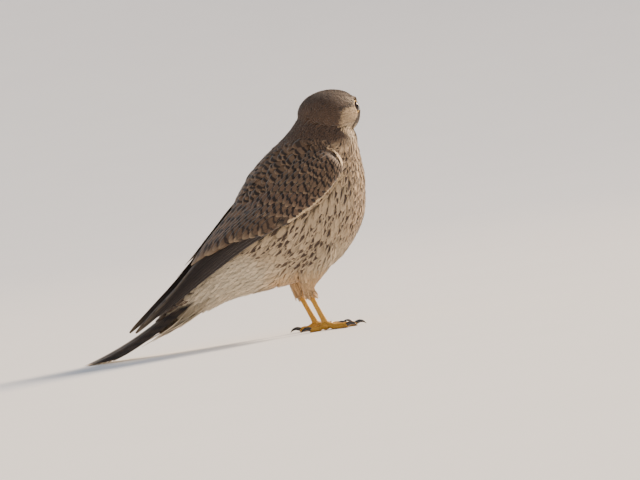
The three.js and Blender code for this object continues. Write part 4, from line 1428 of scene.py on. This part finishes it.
for name, side in SIDES.items():
    shank = scaled_bar(f"shank_scales_{name}", limb(SHANK * [1, side, 1, 1, 1], 110, 48), 1.9, 0.14)
    placed(shank, [SCUTES], "scale", f"shank_{name}")
    radii = TOE_RADIUS * np.array([1.1, 1, 1.08, 1, 0.8])
    toes = [
        scaled_bar("toe", bar(toe_line(*toe, side)[0], radii, 110, 36), 1.5, 0.17) for toe in TOES
    ]
    pad, local = ready_made(
        "pad", bpy.ops.mesh.primitive_uv_sphere_add, segments=40, ring_count=28, radius=1
    )
    local *= [4.3, 3.9, 3.7]
    knobs = 0.12 * np.sin(local * [4.1, 4.3, 4.0] + [0, 0, 1]).prod(1)
    local = local + unit(local) * knobs[:, None] + [FOOT_PLACE[0], side * FOOT_PLACE[1], 3.9]
    local[:, 2] = np.maximum(local[:, 2], 0)
    put_points(pad, local)
    # painted shade in the hollows between the pad's knobs
    store(pad, "GrooveShade", np.clip(0.2 - knobs * 3, 0, 1))
    select(*toes, pad)
    bpy.ops.object.join()
    foot = bpy.context.view_layer.objects.active
    foot.name = f"toes_{name}"
    placed(foot, [SCUTES], "scale", f"foot_{name}")
    for i, toe in enumerate(TOES, 1):
        _, heading, end = toe_line(*toe, side)
        hook = [end + heading * reach + [0, 0, height] for reach, height in HOOK]
        rings = bar(hook, [1.7, 1.6, 1.25, 0.8, 0.15], 30, 20)
        rings[..., 2] = np.maximum(rings[..., 2], 0)
        made = loft(f"talon_{name}_{i}", rings)
        store(made, "Tip", np.repeat(np.linspace(0, 1, 31), 20))
        placed(made, [CLAW_HORN], "claw", f"claw_{name}_{i}")

# The floor, the light and the camera
floor, _ = ready_made(
    "floor", bpy.ops.mesh.primitive_grid_add, x_subdivisions=160, y_subdivisions=160, size=24
)
# far from the bird it turns up into a low wall all round, with no line between them
for vertex in floor.data.vertices:
    vertex.co.z = 0.04 * max(vertex.co.xy.length - 5, 0) ** 2
floor_paint, n, shade = material("Matte studio floor", 0.9, 0.1)
grain = n("TexNoise", {"Vector": n("TexCoord", out=3), "Scale": 6.0})
tint = {0: grain, 6: rgba("#eef1f5"), 7: rgba("#f1f4f8")}
shade({"Base Color": n("Mix", tint, data_type="RGBA", out=2)})
floor.data.materials.append(floor_paint)

world = bpy.data.worlds.new("Studio")
world.use_nodes = True
world.node_tree.nodes["Background"].inputs[0].default_value = rgba("#d3ddec")
world.node_tree.nodes["Background"].inputs[1].default_value = 0.5
bpy.context.scene.world = world


def bearing(azimuth, elevation):
    """The way out from the bird. Azimuth 0 is its right side, and 90 its front."""
    a, e = math.radians(azimuth), math.radians(elevation)
    return np.array([math.sin(a) * math.cos(e), -math.cos(a) * math.cos(e), math.sin(e)])


def soft_light(name, azimuth, elevation, strength, softness, colour):
    """Even light from far away."""
    data = bpy.data.lights.new(name, "SUN")
    data.energy = strength
    data.angle = math.radians(softness)
    data.color = linear(colour)
    made = bpy.data.objects.new(name, data)
    made.rotation_euler = Vector(bearing(azimuth, elevation)).to_track_quat("Z", "Y").to_euler()
    bpy.context.scene.collection.objects.link(made)


soft_light("key", 108, 31, 6.6, 12, "#ffe6cb")
soft_light("rim", 116, 14, 5.0, 8, "#ffd9a8")
soft_light("fill", -20, 40, 0.2, 60, "#eef3ff")

CAMERA_AWAY = 3.5  # metres
camera_data = bpy.data.cameras.new("camera")
camera_data.sensor_width = 36
camera_data.lens = 224
camera = bpy.data.objects.new("camera", camera_data)
bpy.context.scene.collection.objects.link(camera)
back = bearing(-16, 1.5)
target = (np.array([16.9, -4.9, 78.6]) + PLACE) * MM
camera.location = Vector(target + back * CAMERA_AWAY)
# The bird leans 8 degrees further forward on the floor than in the picture, and the camera
# is turned by that much about its own axis, so that the body stands in the frame as there
LEAN = math.radians(8)
level = Vector(-back).to_track_quat("-Z", "Y").to_matrix()
camera.rotation_euler = (level @ Matrix.Rotation(-LEAN, 3, "Z")).to_euler()
bpy.context.scene.camera = camera
